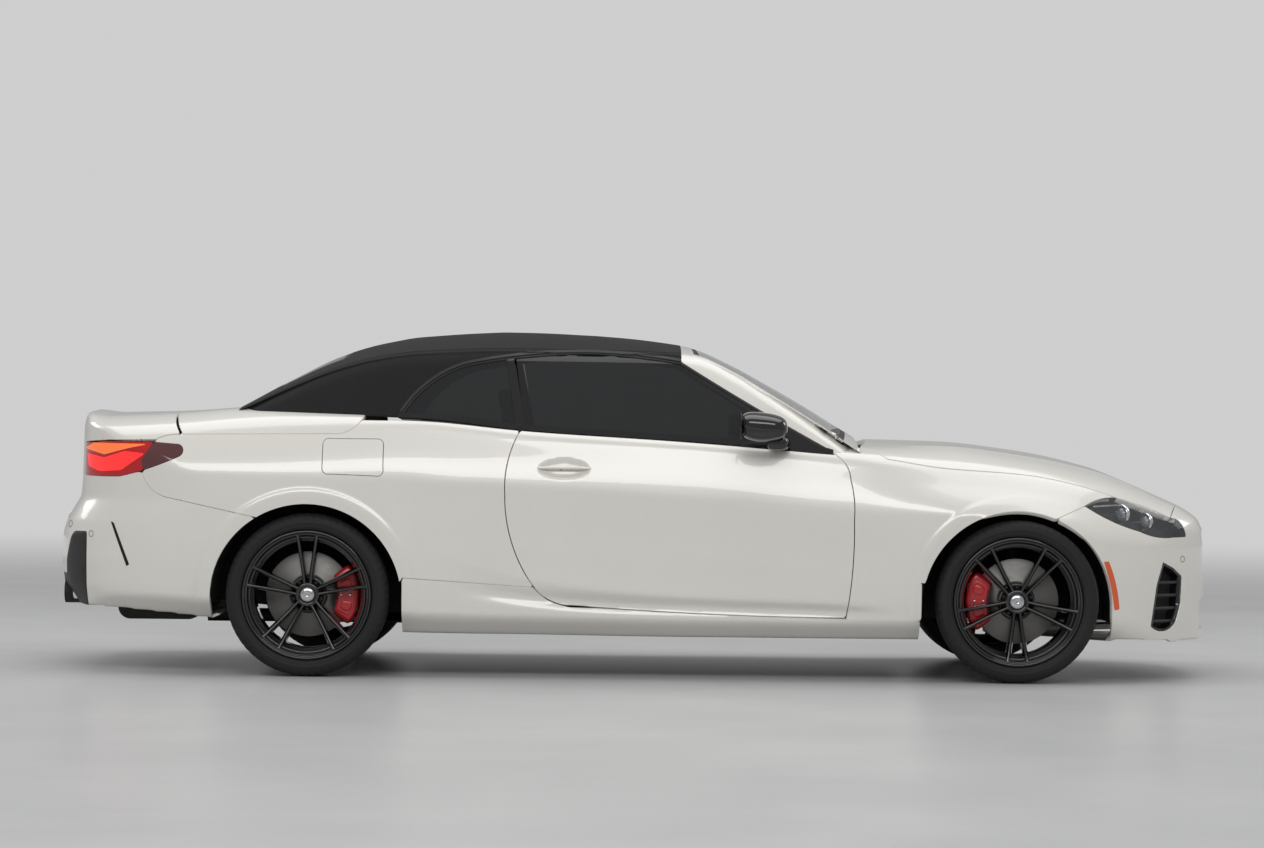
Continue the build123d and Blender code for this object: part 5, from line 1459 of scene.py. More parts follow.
    def bumpers(self) -> None:
        """The two covers that wrap the ends, cut for their lamps, grilles and exhaust."""
        lamp = in_side(HEADLAMP, self.seam)
        front = both_of(
            in_side(FRONT_BUMPER, -self.seam),
            off_arch(FRONT_X),
            not_in(both_of(lamp, beyond(HEADLAMP_IN - 4))),
            not_in(in_plan(HOOD, self.shut)),
            not_in(rounded(*UPPER_GRILLE)),
            not_in(rounded(*LOWER_GRILLE)),
            not_in(both_of(in_side(INTAKE), beyond(INTAKE_IN))),
        )
        skin = skin_panel(Rays.FRONT, front, (-2, 182), (120, 792), self.end_step, 22)
        self.shop.put("front_bumper_skin", skin, Look.PAINT, "body", ("front_bumper",), "paint")
        rear = both_of(
            in_side(REAR_BUMPER, -self.seam),
            off_arch(REAR_ARCH_X),
            not_in(both_of(in_side(TAIL_LAMP, self.seam), beyond(TAIL_LAMP_IN + 2))),
            not_in(both_of(not_in(beyond(TAIL_LAMP_IN + 1)), above(696))),
            not_in(diffuser_zone),
        )
        skin = skin_panel(Rays.REAR, rear, (-2, 182), (200, 830), self.end_step, 22, flip=True)
        self.shop.put("rear_bumper_skin", skin, Look.PAINT, "body", ("rear_bumper",), "paint")

    def cowl(self) -> None:
        """The dark panel at the foot of the windscreen keeps its CAD shape."""
        self.shop.dress("cowl", Look.PLASTIC)


def diffuser_zone(p: Array) -> Array:
    """The dark lower part of the tail: below zero under a line that climbs at each corner."""
    top = 395 + 175 * ease(np.abs(p[:, 1]), 590, 690)
    return np.maximum(p[:, 2] - top, p[:, 0] + 2215)


def lifted(patch: Patch, height: float) -> Patch:
    """A patch moved along its own normals; below zero is inwards."""
    return replace(patch, points=patch.points + height * point_normals(patch))


def area_of(patch: Patch) -> float:
    """The patch's area in square metres."""
    total = 0.0
    for f in patch.faces:
        if len(f):
            a, b, c, d = (patch.points[f[:, k]] for k in (0, 1, 2, -1))
            total += np.linalg.norm(np.cross(b - a, c - a), axis=1).sum() / 2
            if f.shape[1] == 4:
                total += np.linalg.norm(np.cross(c - a, d - a), axis=1).sum() / 2
    return float(total) * MM * MM


def side_skin(x: Array, z: Array) -> Array:
    """Right-hand skin points straight out from (x, z) on the side view."""
    near, far = np.zeros(len(x)), np.full(len(x), 1100.0)
    for _ in range(18):
        mid = (near + far) / 2
        inside = BODY.field(np.stack([x, -mid, z], 1)) < 0
        near, far = np.where(inside, mid, near), np.where(inside, far, mid)
    return np.stack([x, -(near + far) / 2, z], 1)


# ------------------------------------------------------------------ glasshouse and soft top
@dataclass
class Glasshouse:
    """Pillars, glass and the raised fabric top, all on one roof form."""

    shop: Shop
    front_edge: float = SOFT_TOP_FRONT
    cloth: float = 3.0
    glass_in: float = 6.0
    bows: tuple[float, ...] = (-170.0, -560.0, -940.0)
    corner_x: float = 604.0

    def sheet_on(self, region: Region, x: Pair, v: Pair, step: Pair, inset: Array | float = 0.0) -> Patch:
        """A trimmed piece of the roof form, its faces outwards."""
        lay = lambda u, w: GREENHOUSE.surface(u, w, inset(u, w) if callable(inset) else inset)
        patch = trimmed(lay, region, x, v, cells_of(x, v, step))
        return patch.turned_over() if point_normals(patch)[:, 2].sum() < 0 else patch

    @staticmethod
    def above_body(lift: float) -> Region:
        """The region standing at least this far off the body's skin."""
        return lambda p: lift - BODY.field(p)

    def build(self) -> None:
        """Makes the top, the frame and every pane."""
        self.soft_top()
        self.frame()
        self.screen()
        self.side_glass()
        self.rear_glass()

    def ripple(self, x: Array, v: Array) -> Array:
        """How the cloth lies off the form: proud over its bows and a little hollow between them."""
        on_top = ease(2 - np.abs(v), 1.0, 1.3)
        proud = sum(np.exp(-(((x - b) / 46) ** 2)) for b in self.bows)
        corner = np.exp(-(((x + 1010) / 26) ** 2)) * ease(2 - np.abs(v), 0.2, 0.7) * (
            1 - ease(2 - np.abs(v), 0.9, 1.3)
        )
        return -1.5 - 0.9 * proud * on_top + 0.6 * on_top - 1.6 * corner

    def soft_top(self) -> None:
        """The stretched cloth, its side bindings and its seams."""
        region = both_of(
            behind(self.front_edge),
            not_in(in_side(WINDOW, 3.0)),
            not_in(in_plan(REAR_WINDOW, 1.0)),
            self.above_body(-3.0),
        )
        patch = self.sheet_on(region, (-1672, self.front_edge + 6), (-2.0, 2.0), (11, 0.018), self.ripple)
        side_rise, side_run, top_half = 360, 200, 640
        across, along = 2 * (np.hypot(side_rise, side_run) + top_half) * MM, 1.98
        patch.uv[:, 0], patch.uv[:, 1] = patch.points[:, 0], patch.uv[:, 1] * across / 4 / MM
        top = self.shop.put("soft_top_cloth", patch, Look.CLOTH, "body", ("soft_top",), "roof_cloth")
        solid = top.modifiers.new("Thickness", "SOLIDIFY")
        solid.thickness, solid.offset = self.cloth * MM, -1.0
        min(area_of(patch), across * along)
        edge = both_of(
            in_side(WINDOW, 12.0),
            not_in(in_side(WINDOW, 2.0)),
            behind(self.front_edge),
            ahead(-955),
            self.above_body(0.0),
        )
        for name, v in zip(both_sides("top_binding"), ((-2.0, -0.8), (0.8, 2.0))):
            piece = with_return(self.sheet_on(edge, (-980, 184), v, (7, 0.008), -3.0), 6)
            self.shop.put(name, piece, Look.SEAL_AND_SHADE)
        x = np.linspace(-1660, 176, 150)
        for name, place in zip(both_sides("top_seam"), (-0.93, 0.93)):
            v = np.full_like(x, place)
            seam = GREENHOUSE.surface(x, v, self.ripple(x, v))
            self.shop.put(name, tube(seam, 2.2, 8), Look.CLOTH_EDGE)

    def frame(self) -> None:
        """Both windscreen pillars and the header, painted."""
        region = both_of(
            ahead(self.front_edge + 2),
            behind(904),
            not_in(in_side(WINDOW, 2.0)),
            not_in(in_plan(SCREEN, 1.0)),
            self.above_body(-5.0),
        )
        patch = self.sheet_on(region, (self.front_edge - 4, 908), (-2.0, 2.0), (7, 0.012))
        piece = with_return(patch, 10)
        self.shop.put("screen_frame_skin", piece, Look.PAINT, "body", ("windshield_frame",), "paint")

    def screen(self) -> None:
        """The curved windscreen with its black border and rubber."""
        pane = self.sheet_on(
            both_of(in_plan(SCREEN, -20.0), self.above_body(-8)), (216, 874), (-1.5, 1.5), (10, 0.03), 2.5
        )
        self.shop.put("windscreen_pane", pane, Look.CLEAR, "body", ("windshield",), "clear_glass")
        ring = both_of(in_plan(SCREEN, 0.0), not_in(in_plan(SCREEN, -21.0)), self.above_body(-8))
        border = self.sheet_on(ring, (216, 880), (-1.7, 1.7), (7, 0.012), 2.0)
        self.shop.put("windscreen_border", border, Look.SEAL_AND_SHADE)
        mirror = pillow_box((322, 0, 1228), (9, 120, 32), 4, 18)
        self.shop.put("cabin_mirror", mirror, Look.GLOSS)
        stem = tube(np.array([[326, 0, 1240], [312, 0, 1268], [296, 0, 1296]]), 9, 10)
        self.shop.put("cabin_mirror_stem", stem, Look.TRIM)

    def side_glass(self) -> None:
        """Door and quarter panes, the strip between them, the corner plate, and the belt and top seals."""
        line = np.array([(-438, 860), (-466, 1120), (-508, 1400), (1000, 1400), (1000, 860)], float)
        strip = np.array([(-440, 960), (-467, 1120), (-507, 1320), (-535, 1320), (-478, 960)], float)
        inside = in_side(WINDOW, -7.0)
        door = both_of(inside, in_side(line), self.above_body(-14), behind(self.corner_x))
        pane = with_return(self.sheet_on(door, (-520, 610), (-2.06, -0.8), (12, 0.02), self.glass_in), 4)
        self.shop.pair("door_pane", pane, Look.TINT, DOORS, both_sides("door_glass"), "tinted_glass")
        back = both_of(inside, not_in(in_side(line, 28)), self.above_body(-14))
        rear = self.sheet_on(back, (-975, -430), (-2.06, -0.8), (10, 0.018), self.glass_in)
        panes = joined(rear, rear.other_side())
        self.shop.put("quarter_panes", panes, Look.TINT, "body", ("quarter_glass",), "tinted_glass")
        post = with_return(
            self.sheet_on(
                both_of(inside, in_side(strip), self.above_body(-14)),
                (-545, -425),
                (-2.06, -0.8),
                (5, 0.012),
                3.0,
            ),
            5,
        )
        self.shop.pair("pane_post", post, Look.GLOSS)
        plate_region = both_of(in_side(WINDOW, -2.0), ahead(self.corner_x + 2), self.above_body(-6))
        plate = with_return(
            self.sheet_on(plate_region, (self.corner_x - 2, 800), (-2.06, -1.0), (6, 0.012), 2.0), 8
        )
        self.shop.pair("mirror_corner", plate, Look.GLOSS, DOORS)
        seal = both_of(in_side(WINDOW, 2.0), not_in(in_side(WINDOW, -8.0)), self.above_body(-4))
        rim = with_return(self.sheet_on(seal, (-980, 806), (-2.06, -0.8), (7, 0.008), 1.5), 6)
        self.shop.pair("window_seal", rim, Look.SEAL_AND_SHADE)
        for name, span, bodies in (
            ("belt_trim_rear", (-962, -470), ("body", "body")), ("belt_trim_door", (-462, 794), DOORS)
        ):
            region = both_of(
                lambda p: BODY.field(p) - 15, self.above_body(-2), ahead(span[0]), behind(span[1])
            )
            trim = with_return(
                self.sheet_on(region, (span[0] - 8, span[1] + 8), (-2.08, -1.6), (8, 0.008), -3.5), 8
            )
            self.shop.pair(name, trim, Look.GLOSS, bodies)

    def rear_glass(self) -> None:
        """The heated rear window with its bonded border."""
        ripple = lambda u, v: self.ripple(u, v) + 1.0
        pane = self.sheet_on(in_plan(REAR_WINDOW, -18.0), (-1490, -1180), (-1.0, 1.0), (9, 0.02), ripple)
        self.shop.put("rear_window_pane", pane, Look.TINT, "body", ("rear_window",), "tinted_glass")
        ring = both_of(in_plan(REAR_WINDOW, 0.0), not_in(in_plan(REAR_WINDOW, -19.0)))
        self.shop.put(
            "rear_window_border",
            self.sheet_on(ring, (-1490, -1180), (-1.0, 1.0), (6, 0.012), ripple),
            Look.SEAL_AND_SHADE,
        )


# ------------------------------------------------------------------ lamps and small outside pieces
@dataclass
class Lamps:
    """Head and tail lamps, side markers, reflectors, intakes and the tail's dark parts."""

    shop: Shop
    bowl_depth: float = 58.0

    def build(self) -> None:
        """Makes them all."""
        self.headlamps()
        self.tail_lamps()
        self.small_lights()
        self.intakes()
        self.tail_dark()

    @staticmethod
    def patch_on(rays: Rays, region: Region, u: Pair, v: Pair, step: Pair, lift: float) -> Patch:
        """A piece of skin lifted off the body, its faces outwards."""
        patch = trimmed(lambda a, b: BODY.skin(rays, a, b), region, u, v, cells_of(u, v, step))
        if (point_normals(patch) * patch.points)[:, 1].sum() < 0:
            patch = patch.turned_over()
        return lifted(patch, lift)

    def headlamps(self) -> None:
        """Each headlamp: clear cover, dark bowl, two projectors with light rings, and a bright brow."""
        zone = lambda grow: both_of(in_side(HEADLAMP, grow), beyond(HEADLAMP_IN), on_right)
        spans = ((20, 62), (575, 760))
        cover = self.patch_on(Rays.FRONT, zone(-0.6), *spans, (0.45, 5), 0.0)
        self.shop.pair("lamp_cover", cover, Look.LAMP_LENS, slot="lamp_clear")
        bowl = self.patch_on(Rays.FRONT, zone(0.5), *spans, (0.6, 7), -self.bowl_depth)
        wall = with_return(self.patch_on(Rays.FRONT, zone(0.2), *spans, (0.6, 7), 0.0), self.bowl_depth + 4)
        skirt = Patch(wall.points, [wall.faces[0][-2 * len(wall.crisp) :]], wall.uv)
        self.shop.pair("lamp_bowl", bowl, Look.LAMP_BOWL)
        self.shop.put(
            "lamp_walls",
            joined(skirt, skirt.other_side()),
            Look.LAMP_BOWL,
            "body",
            ("headlamps",),
            "lamp_clear",
        )
        parts, rings = [], []
        for x, z, r in ((1990.0, 682.0, 34.0), (2092.0, 652.0, 30.0)):
            seat = side_skin(np.array([x]), np.array([z]))[0]
            centre = seat + np.array([-22.0, 30.0, -3.0])
            dome = turned([(0.5, 12), (r * 0.35, 10.6), (r * 0.62, 6.5), (r * 0.8, 0), (r * 0.86, -10)], 40)
            ring = turned([(r, 2), (r + 5, 5), (r + 8, 2), (r + 8, -12), (r, -12)], 48)
            aim = np.array(Euler((0, 0, math.radians(125))).to_matrix())
            parts.append(replace(dome, points=dome.points @ aim.T + centre))
            rings.append(replace(ring, points=ring.points @ aim.T + centre))
        self.shop.pair("lamp_projectors", joined(*parts), Look.PROJECTOR)
        self.shop.pair("lamp_rings", joined(*rings), Look.CHROME)
        x = np.linspace(1850, 2150, 40)
        z = np.interp(x, [1850, 1950, 2050, 2150], [716, 722, 705, 668])
        brow = side_skin(x, z) + np.array([0.0, 16.0, -6.0])
        self.shop.pair("lamp_brow", tube(brow, 3.6, 8), Look.CHROME)

    def tail_lamps(self) -> None:
        """Each tail lamp: red lens with a smoked leading tip, an amber strip and a light bar."""
        zone = lambda grow: both_of(in_side(TAIL_LAMP, grow), beyond(TAIL_LAMP_IN), on_right)
        spans = ((20, 72), (780, 945), (0.4, 4))
        tip = np.array([(-1700, 1000), (-1700, 700), (-1955, 700), (-1990, 860), (-1925, 960)], float)
        amber = np.array([(-1960, 924), (-2200, 928), (-2250, 905), (-2150, 880), (-2040, 908)], float)
        for name, part, look in (
            ("tail_lens", both_of(not_in(in_side(tip)), not_in(in_side(amber))), Look.RED_LENS),
            ("tail_lens_tip", in_side(tip), Look.SMOKE_LENS),
            ("tail_lens_amber", both_of(in_side(amber), not_in(in_side(tip))), Look.AMBER_LIGHT),
        ):
            lens = self.patch_on(Rays.REAR, both_of(zone(-0.6), part), *spans, 0.0)
            self.shop.pair(name, lens, look, slot="lamp_red")
        back = self.patch_on(Rays.REAR, zone(0.6), *spans, -34.0)
        both = joined(back, back.other_side())
        self.shop.put("tail_lamp_bowls", both, Look.LAMP_BOWL, "body", ("tail_lamps",), "lamp_red")
        bar = np.array(
            [
                (-2235, 885), (-2150, 868), (-2060, 895), (-1975, 886), (-2075, 818), (-2170, 812),
                (-2225, 832),
            ],
            float,
        )
        glow = self.patch_on(Rays.REAR, both_of(zone(-2), in_side(bar)), *spans, 0.7)
        self.shop.pair("tail_light_bar", glow, Look.RED_LIGHT, slot="lamp_red")

    def small_lights(self) -> None:
        """Amber side markers and red rear reflectors."""
        marker = self.patch_on(
            Rays.FRONT, both_of(in_side(SIDE_MARKER), on_right), (20, 36), (285, 505), (0.25, 4), 1.4
        )
        self.shop.pair("side_marker", with_return(marker, 3, False), Look.AMBER)
        reflector = np.array([(-2368, 652), (-2330, 652), (-2330, 618), (-2372, 618)], float)
        zone = both_of(in_side(reflector), on_right, beyond(400))
        red = self.patch_on(Rays.REAR, zone, (48, 72), (605, 665), (0.25, 4), 1.4)
        self.shop.pair("rear_reflector", with_return(red, 3, False), Look.RED_LENS)

    def intakes(self) -> None:
        """The pockets in the bumper's corners with their bars, and the dark space behind the grilles."""
        zone = lambda grow: both_of(in_side(INTAKE, grow), beyond(INTAKE_IN), on_right)
        spans = ((38, 62), (195, 500), (0.4, 5))
        lip = self.patch_on(Rays.FRONT, both_of(zone(1.0), not_in(zone(-9))), *spans, -3.0)
        self.shop.pair("intake_lip", with_return(lip, 46, False), Look.GLOSS)
        self.shop.pair("intake_back", self.patch_on(Rays.FRONT, zone(4), *spans, -48.0), Look.DARK)
        bars = []
        for z in (248.0, 300.0, 352.0, 404.0):
            u = np.linspace(36, 62, 120)
            path = BODY.skin(Rays.FRONT, u, np.full_like(u, z))
            path = path[zone(-2)(path) < 0]
            if len(path) > 4:
                inward = path - np.array([1450.0, 0.0, z])
                inward /= np.linalg.norm(inward, axis=1, keepdims=True)
                bars.append(tube(path - 16 * inward, 5.5, 8, flat=1.2))
        self.shop.pair("intake_bars", joined(*bars), Look.PLASTIC)
        back = self.patch_on(Rays.FRONT, rounded(470, 190, 640, 40), (52, 128), (185, 645), (1.2, 10), -70.0)
        self.shop.put("grille_backing", back, Look.DARK)
        self.shop.dress("grilles", Look.GLOSS)

    def tail_dark(self) -> None:
        """The dark lower tail, the slot beside it, and the tailpipes' bright ends."""
        wide, high = PIPE_HOLE
        pipes = lambda p: 1 - np.hypot((np.abs(p[:, 1]) - PIPE_Y) / wide, (p[:, 2] - PIPE_Z) / high)
        low = both_of(lambda p: diffuser_zone(p) + 1.6, above(232), lambda p: 60 * pipes(p))
        patch = trimmed(lambda a, b: BODY.skin(Rays.REAR, a, b), low, (18, 162), (225, 600), (130, 44))
        skirt = with_return(patch.turned_over(), 20, False)
        self.shop.put("tail_skirt", skirt, Look.PLASTIC, "body", ("diffuser",), "cabin_plastic")
        slot = np.array([(-2112, 613), (-2098, 606), (-2031, 441), (-2042, 432)], float)
        dark = self.patch_on(Rays.REAR, both_of(in_side(slot), on_right), (28, 56), (425, 620), (0.2, 4), 0.7)
        self.shop.pair("bumper_slot", dark, Look.DARK)
        tip = turned([(44, 60), (44, -6), (46, -11), (50, -11), (52, -6), (52, 60)], 64)
        across, along, up = tip.points.T
        tips = []
        for y in (-PIPE_Y, PIPE_Y):
            points = np.stack([along - 2285, across * 1.35 + y, up + PIPE_Z], 1)
            tips.append(replace(tip, points=points).turned_over())
        self.shop.put("tailpipe_ends", joined(*tips), Look.CHROME)


# ------------------------------------------------------------------ wheels and brakes
@dataclass
class Wheel:
    """One axle's wheel and tyre, built on the right side with its outboard face towards -Y."""

    x: float
    track: float
    width: float
    first_angle: float
    label: str
    pairs: int = 5
    split: float = 9.2
    cap_r: float = 31.0
    disc_r: float = 171.5
    grooves: tuple[float, ...] = (-58.0, -20.0, 20.0, 58.0)
    groove_depth: float = 7.0
    blocks: int = 60
    cut_depth: float = 3.6

    def placed(self, x: Array, out: Array, z: Array, **how: bool) -> Patch:
        """Grids in the wheel's own frame, out being outboard, set on the right-hand hub."""
        return gridded(self.x + x, -self.track - out, HUB_Z + z, **how)

    def ring(self, profile: Sequence[Pair], count: int = 128) -> Patch:
        """A closed (radius, outboard) profile turned about the axle."""
        loop = np.array(profile, float)
        a = np.linspace(0, 2 * math.pi, count, endpoint=False)
        x, z = np.outer(np.cos(a), loop[:, 0]), np.outer(np.sin(a), loop[:, 0])
        return self.placed(x, np.tile(loop[:, 1], (count, 1)), z, wrap_u=True, wrap_v=True)

    def build(self, shop: Shop) -> None:
        """Makes the rim, disc, cap, bolts and tyre of both sides."""
        bodies = both_sides(f"wheel_{self.label}")
        half = self.width / 2 - 4
        rim = joined(self.barrel(half), self.spokes(half))
        shop.pair(
            f"rim_{self.label}_spokes", rim, Look.RIM, bodies, both_sides(f"rim_{self.label}"), "rim_black"
        )
        shop.pair(f"disc_{self.label}", self.disc(), Look.DISC, bodies)
        cap = self.ring(
            [
                (0.01, half - 42), (14, half - 42.6), (25, half - 45), (self.cap_r, half - 50),
                (self.cap_r, half - 70), (0.01, half - 70),
            ],
            48,
        )
        shop.pair(f"cap_{self.label}", cap, Look.CAP, bodies)
        shop.pair(f"bolts_{self.label}", self.bolts(half), Look.CAST, bodies)
        shop.pair(
            f"tread_{self.label}",
            self.tyre(),
            Look.RUBBER,
            bodies,
            both_sides(f"tyre_{self.label}"),
            "tyre",
        )

    def barrel(self, half: float) -> Patch:
        """The rim's rolled section, its lip, the step inside it and the hub."""
        section = self.ring(
            [
                (258.6, half - 9), (258.9, half - 3), (256.5, half), (252, half), (249.5, half - 2),
                (248.5, half - 7), (243, half - 9), (238, half - 13), (236, half - 22), (229, half - 27),
                (226, half - 40), (215, half - 56), (214, 56 - half), (236, 34 - half), (243, 9 - half),
                (251, -half), (259, -half), (259, 8 - half), (243, 10 - half), (243, 34 - half),
                (222, 52 - half), (222, half - 52), (243, half - 34), (243, half - 11),
            ],
            160,
        )
        inner = self.ring(
            [
                (226, half - 27), (228, half - 24), (233, half - 23), (236, half - 25), (236, half - 34),
                (226, half - 34),
            ],
            120,
        )
        hub = self.ring(
            [
                (32, half - 50), (36, half - 45), (43, half - 44), (49, half - 50), (58, half - 66),
                (66, half - 72), (66, 0), (32, 0),
            ],
            80,
        )
        return joined(section, inner, hub)

    def spokes(self, half: float) -> Patch:
        """Ten blades in pairs: a faceted section carried outwards from the hub, rising to the lip.

        The blade stands at angle a, its top edge narrow and its flanks steep; it flares where it
        joins the hub and the ring. Its height over the axle plane grows with radius r as a soft curve.
        """
        r = np.concatenate([np.linspace(33, 60, 8), np.linspace(66, 226, 26), np.linspace(230, 249, 7)])
        t = (r - 33) / (249 - 33)
        top = half - 47 + 38.5 * t**1.15 - 2.5 * np.sin(math.pi * t)
        wide = 7.0 + 1.2 * np.exp(-t / 0.06) + 5.5 * np.exp(-(1 - t) / 0.05)
        deep = 44 - 12 * t
        shape = np.array(
            [
                (-0.42, 0), (0.42, 0), (0.8, -0.09), (1.0, -0.22), (1.55, -0.7), (1.7, -1.0), (-1.7, -1.0),
                (-1.55, -0.7), (-1.0, -0.22), (-0.8, -0.09),
            ]
        )
        across = wide[:, None] * shape[:, 0]
        out = top[:, None] + deep[:, None] * shape[:, 1]
        out[-7:] = np.maximum(out[-7:], half - 36)
        parts = []
        for pair in range(self.pairs):
            for side in (-1, 1):
                a = math.radians(self.first_angle + 360 / self.pairs * pair + side * self.split)
                root = side * 6.0 * np.exp(-t / 0.25)[:, None]
                u, v = r[:, None] + 0 * across, across + root
                x, z = u * math.cos(a) - v * math.sin(a), u * math.sin(a) + v * math.cos(a)
                parts.append(self.placed(x, out, z, wrap_v=True))
        return joined(*parts)

    def disc(self) -> Patch:
        """The vented disc: two plates, the vanes' gap between them, and the hat."""
        plates = self.ring(
            [
                (72, 0.3), (84, 0.3), (85, -0.6), (170, -0.6), (self.disc_r, -2), (self.disc_r, -8),
                (164, -8.5), (164, -15.5), (self.disc_r, -16), (self.disc_r, -22), (170, -23.4),
                (85, -23.4), (72, -23.4),
            ],
            96,
        )
        hat = self.ring([(30, 22), (64, 22), (70, 19), (72, 14), (72, -6), (30, -6)], 72)
        return joined(plates, hat)

    def bolts(self, half: float) -> Patch:
        """Five hexagon wheel bolts between the pairs of blades."""
        parts = []
        for k in range(self.pairs):
            a = math.radians(self.first_angle + 180 / self.pairs + 360 / self.pairs * k)
            profile = np.array(
                [(0.01, half - 58), (6.5, half - 58), (8.3, half - 60), (8.3, half - 74), (0.01, half - 74)]
            )
            turn = np.linspace(0, 2 * math.pi, 6, endpoint=False)
            x = np.outer(np.cos(turn), profile[:, 0]) + 56 * math.cos(a)
            z = np.outer(np.sin(turn), profile[:, 0]) + 56 * math.sin(a)
            parts.append(self.placed(x, np.tile(profile[:, 1], (6, 1)), z, wrap_u=True, wrap_v=True))
        return joined(*parts)

    def tyre(self) -> Patch:
        """The tyre: a closed section turned about the axle, with round grooves and slanting side cuts.

        The tread radius is the section's own, less a groove's depth where |s - groove| is small, and less a
        cut's depth on the shoulders where the angle plus a slant falls in the cut's share of its pitch.
        """
        half = self.width / 2
        outer, inner = -np.array([65.5, 62, 61.5, 54.5, 54, 52]), -np.array([24.5, 24, 16.5, 16, 14])
        shoulder, rib = -np.linspace(half - 24, 66, 9), np.linspace(-44, -26, 4)
        s = np.concatenate([shoulder, outer, rib, inner, [-9.0, 0.0]])
        s = np.concatenate([s, -s[-2::-1]])
        radius = TYRE_R - 0.2 - 3.0 * np.clip((np.abs(s) - (half - 60)) / 36, 0, 1) ** 2
        depth = sum(np.clip((3.9 - np.abs(s - g)) / 0.6, 0, 1) for g in self.grooves)
        wall = np.array([
            (323, half - 24), (319, half - 16), (314, half - 10), (311.5, half - 7.6), (308, half - 6.4),
            (300, half - 3), (290, half - 0.6), (284, half - 0.2), (283, half - 1.4), (279, half - 1.0),
            (274, half - 1.6), (269, half - 3.4), (267.5, half - 5.6), (264.5, half - 6), (262.5, half - 9),
            (260.5, half - 14),
        ])
        left = wall[::-1] * (1, -1)
        inside = np.array(
            [(256, -half + 22), (300, -half + 30), (306, 0), (300, half - 30), (256, half - 22)], float
        )
        tread = np.stack([radius, s], 1)
        loop = np.concatenate([left, tread, wall[1:], inside[::-1]])
        grooved = np.zeros(len(loop))
        grooved[len(left) : len(left) + len(s)] = self.groove_depth * np.clip(depth, 0, 1)
        count = 5 * self.blocks
        a = np.linspace(0, 2 * math.pi, count, endpoint=False)
        outward = np.clip((np.abs(loop[:, 1]) - 63) / 8, 0, 1) * (loop[:, 0] > 309)
        phase = (a[:, None] * self.blocks / (2 * math.pi) + 0.012 * np.abs(loop[:, 1])[None, :]) % 1.0
        cuts = np.clip((0.16 - np.abs(phase - 0.5)) / 0.06, 0, 1) * outward[None, :] * self.cut_depth
        r = loop[:, 0][None, :] - grooved[None, :] - cuts
        x, z = np.cos(a)[:, None] * r, np.sin(a)[:, None] * r
        return self.placed(x, np.tile(loop[:, 1], (count, 1)), z, wrap_u=True, wrap_v=True, flip=True)


@dataclass
class Caliper:
    """A fixed caliper straddling the disc's edge: a bent block with a raised face, two bosses and two steel
    pins; its bridge window and pads are not drawn.
    """

    x: float
    track: float
    sign: int
    label: str
    bodies: tuple[str, str]
    mid_r: float = 161.0
    half_r: float = 47.0
    half_angle: float = 0.66

    def bent(self, centre: Triple, half: Triple, power: float, count: int) -> Patch:
        """A soft-edged block bent round the axle: (radius, outboard, angle) taken from a superellipsoid."""
        a, b, c = superellipsoid(power, count)
        r = centre[0] + half[0] * a
        angle = centre[2] + half[2] * c
        out = centre[1] + half[1] * b
        base = 0.0 if self.sign > 0 else math.pi
        x, z = r * np.cos(base + angle), r * np.sin(base + angle)
        return gridded(self.x + x, -self.track - out, HUB_Z + z, wrap_v=True)

    def build(self, shop: Shop) -> None:
        """Makes both sides' calipers."""
        body = self.bent((self.mid_r, -24, 0), (self.half_r, 54, self.half_angle), 6, 30)
        face = self.bent((self.mid_r - 4, 23, 0), (self.half_r - 12, 9, self.half_angle - 0.16), 5, 22)
        bosses = [self.bent((self.mid_r - 2, 29, k), (24, 7, 0.13), 2.6, 16) for k in (-0.28, 0.28)]
        shop.pair(
            f"caliper_{self.label}",
            joined(body, face, *bosses),
            Look.CALIPER,
            self.bodies,
            slot="caliper_red",
        )
        pins = [self.bent((self.mid_r + 30 * k, 33, 0), (6, 5, 0.035), 2.5, 10) for k in (-0.9, 0.3)]
        shop.pair(f"caliper_pins_{self.label}", joined(*pins), Look.STEEL, self.bodies)


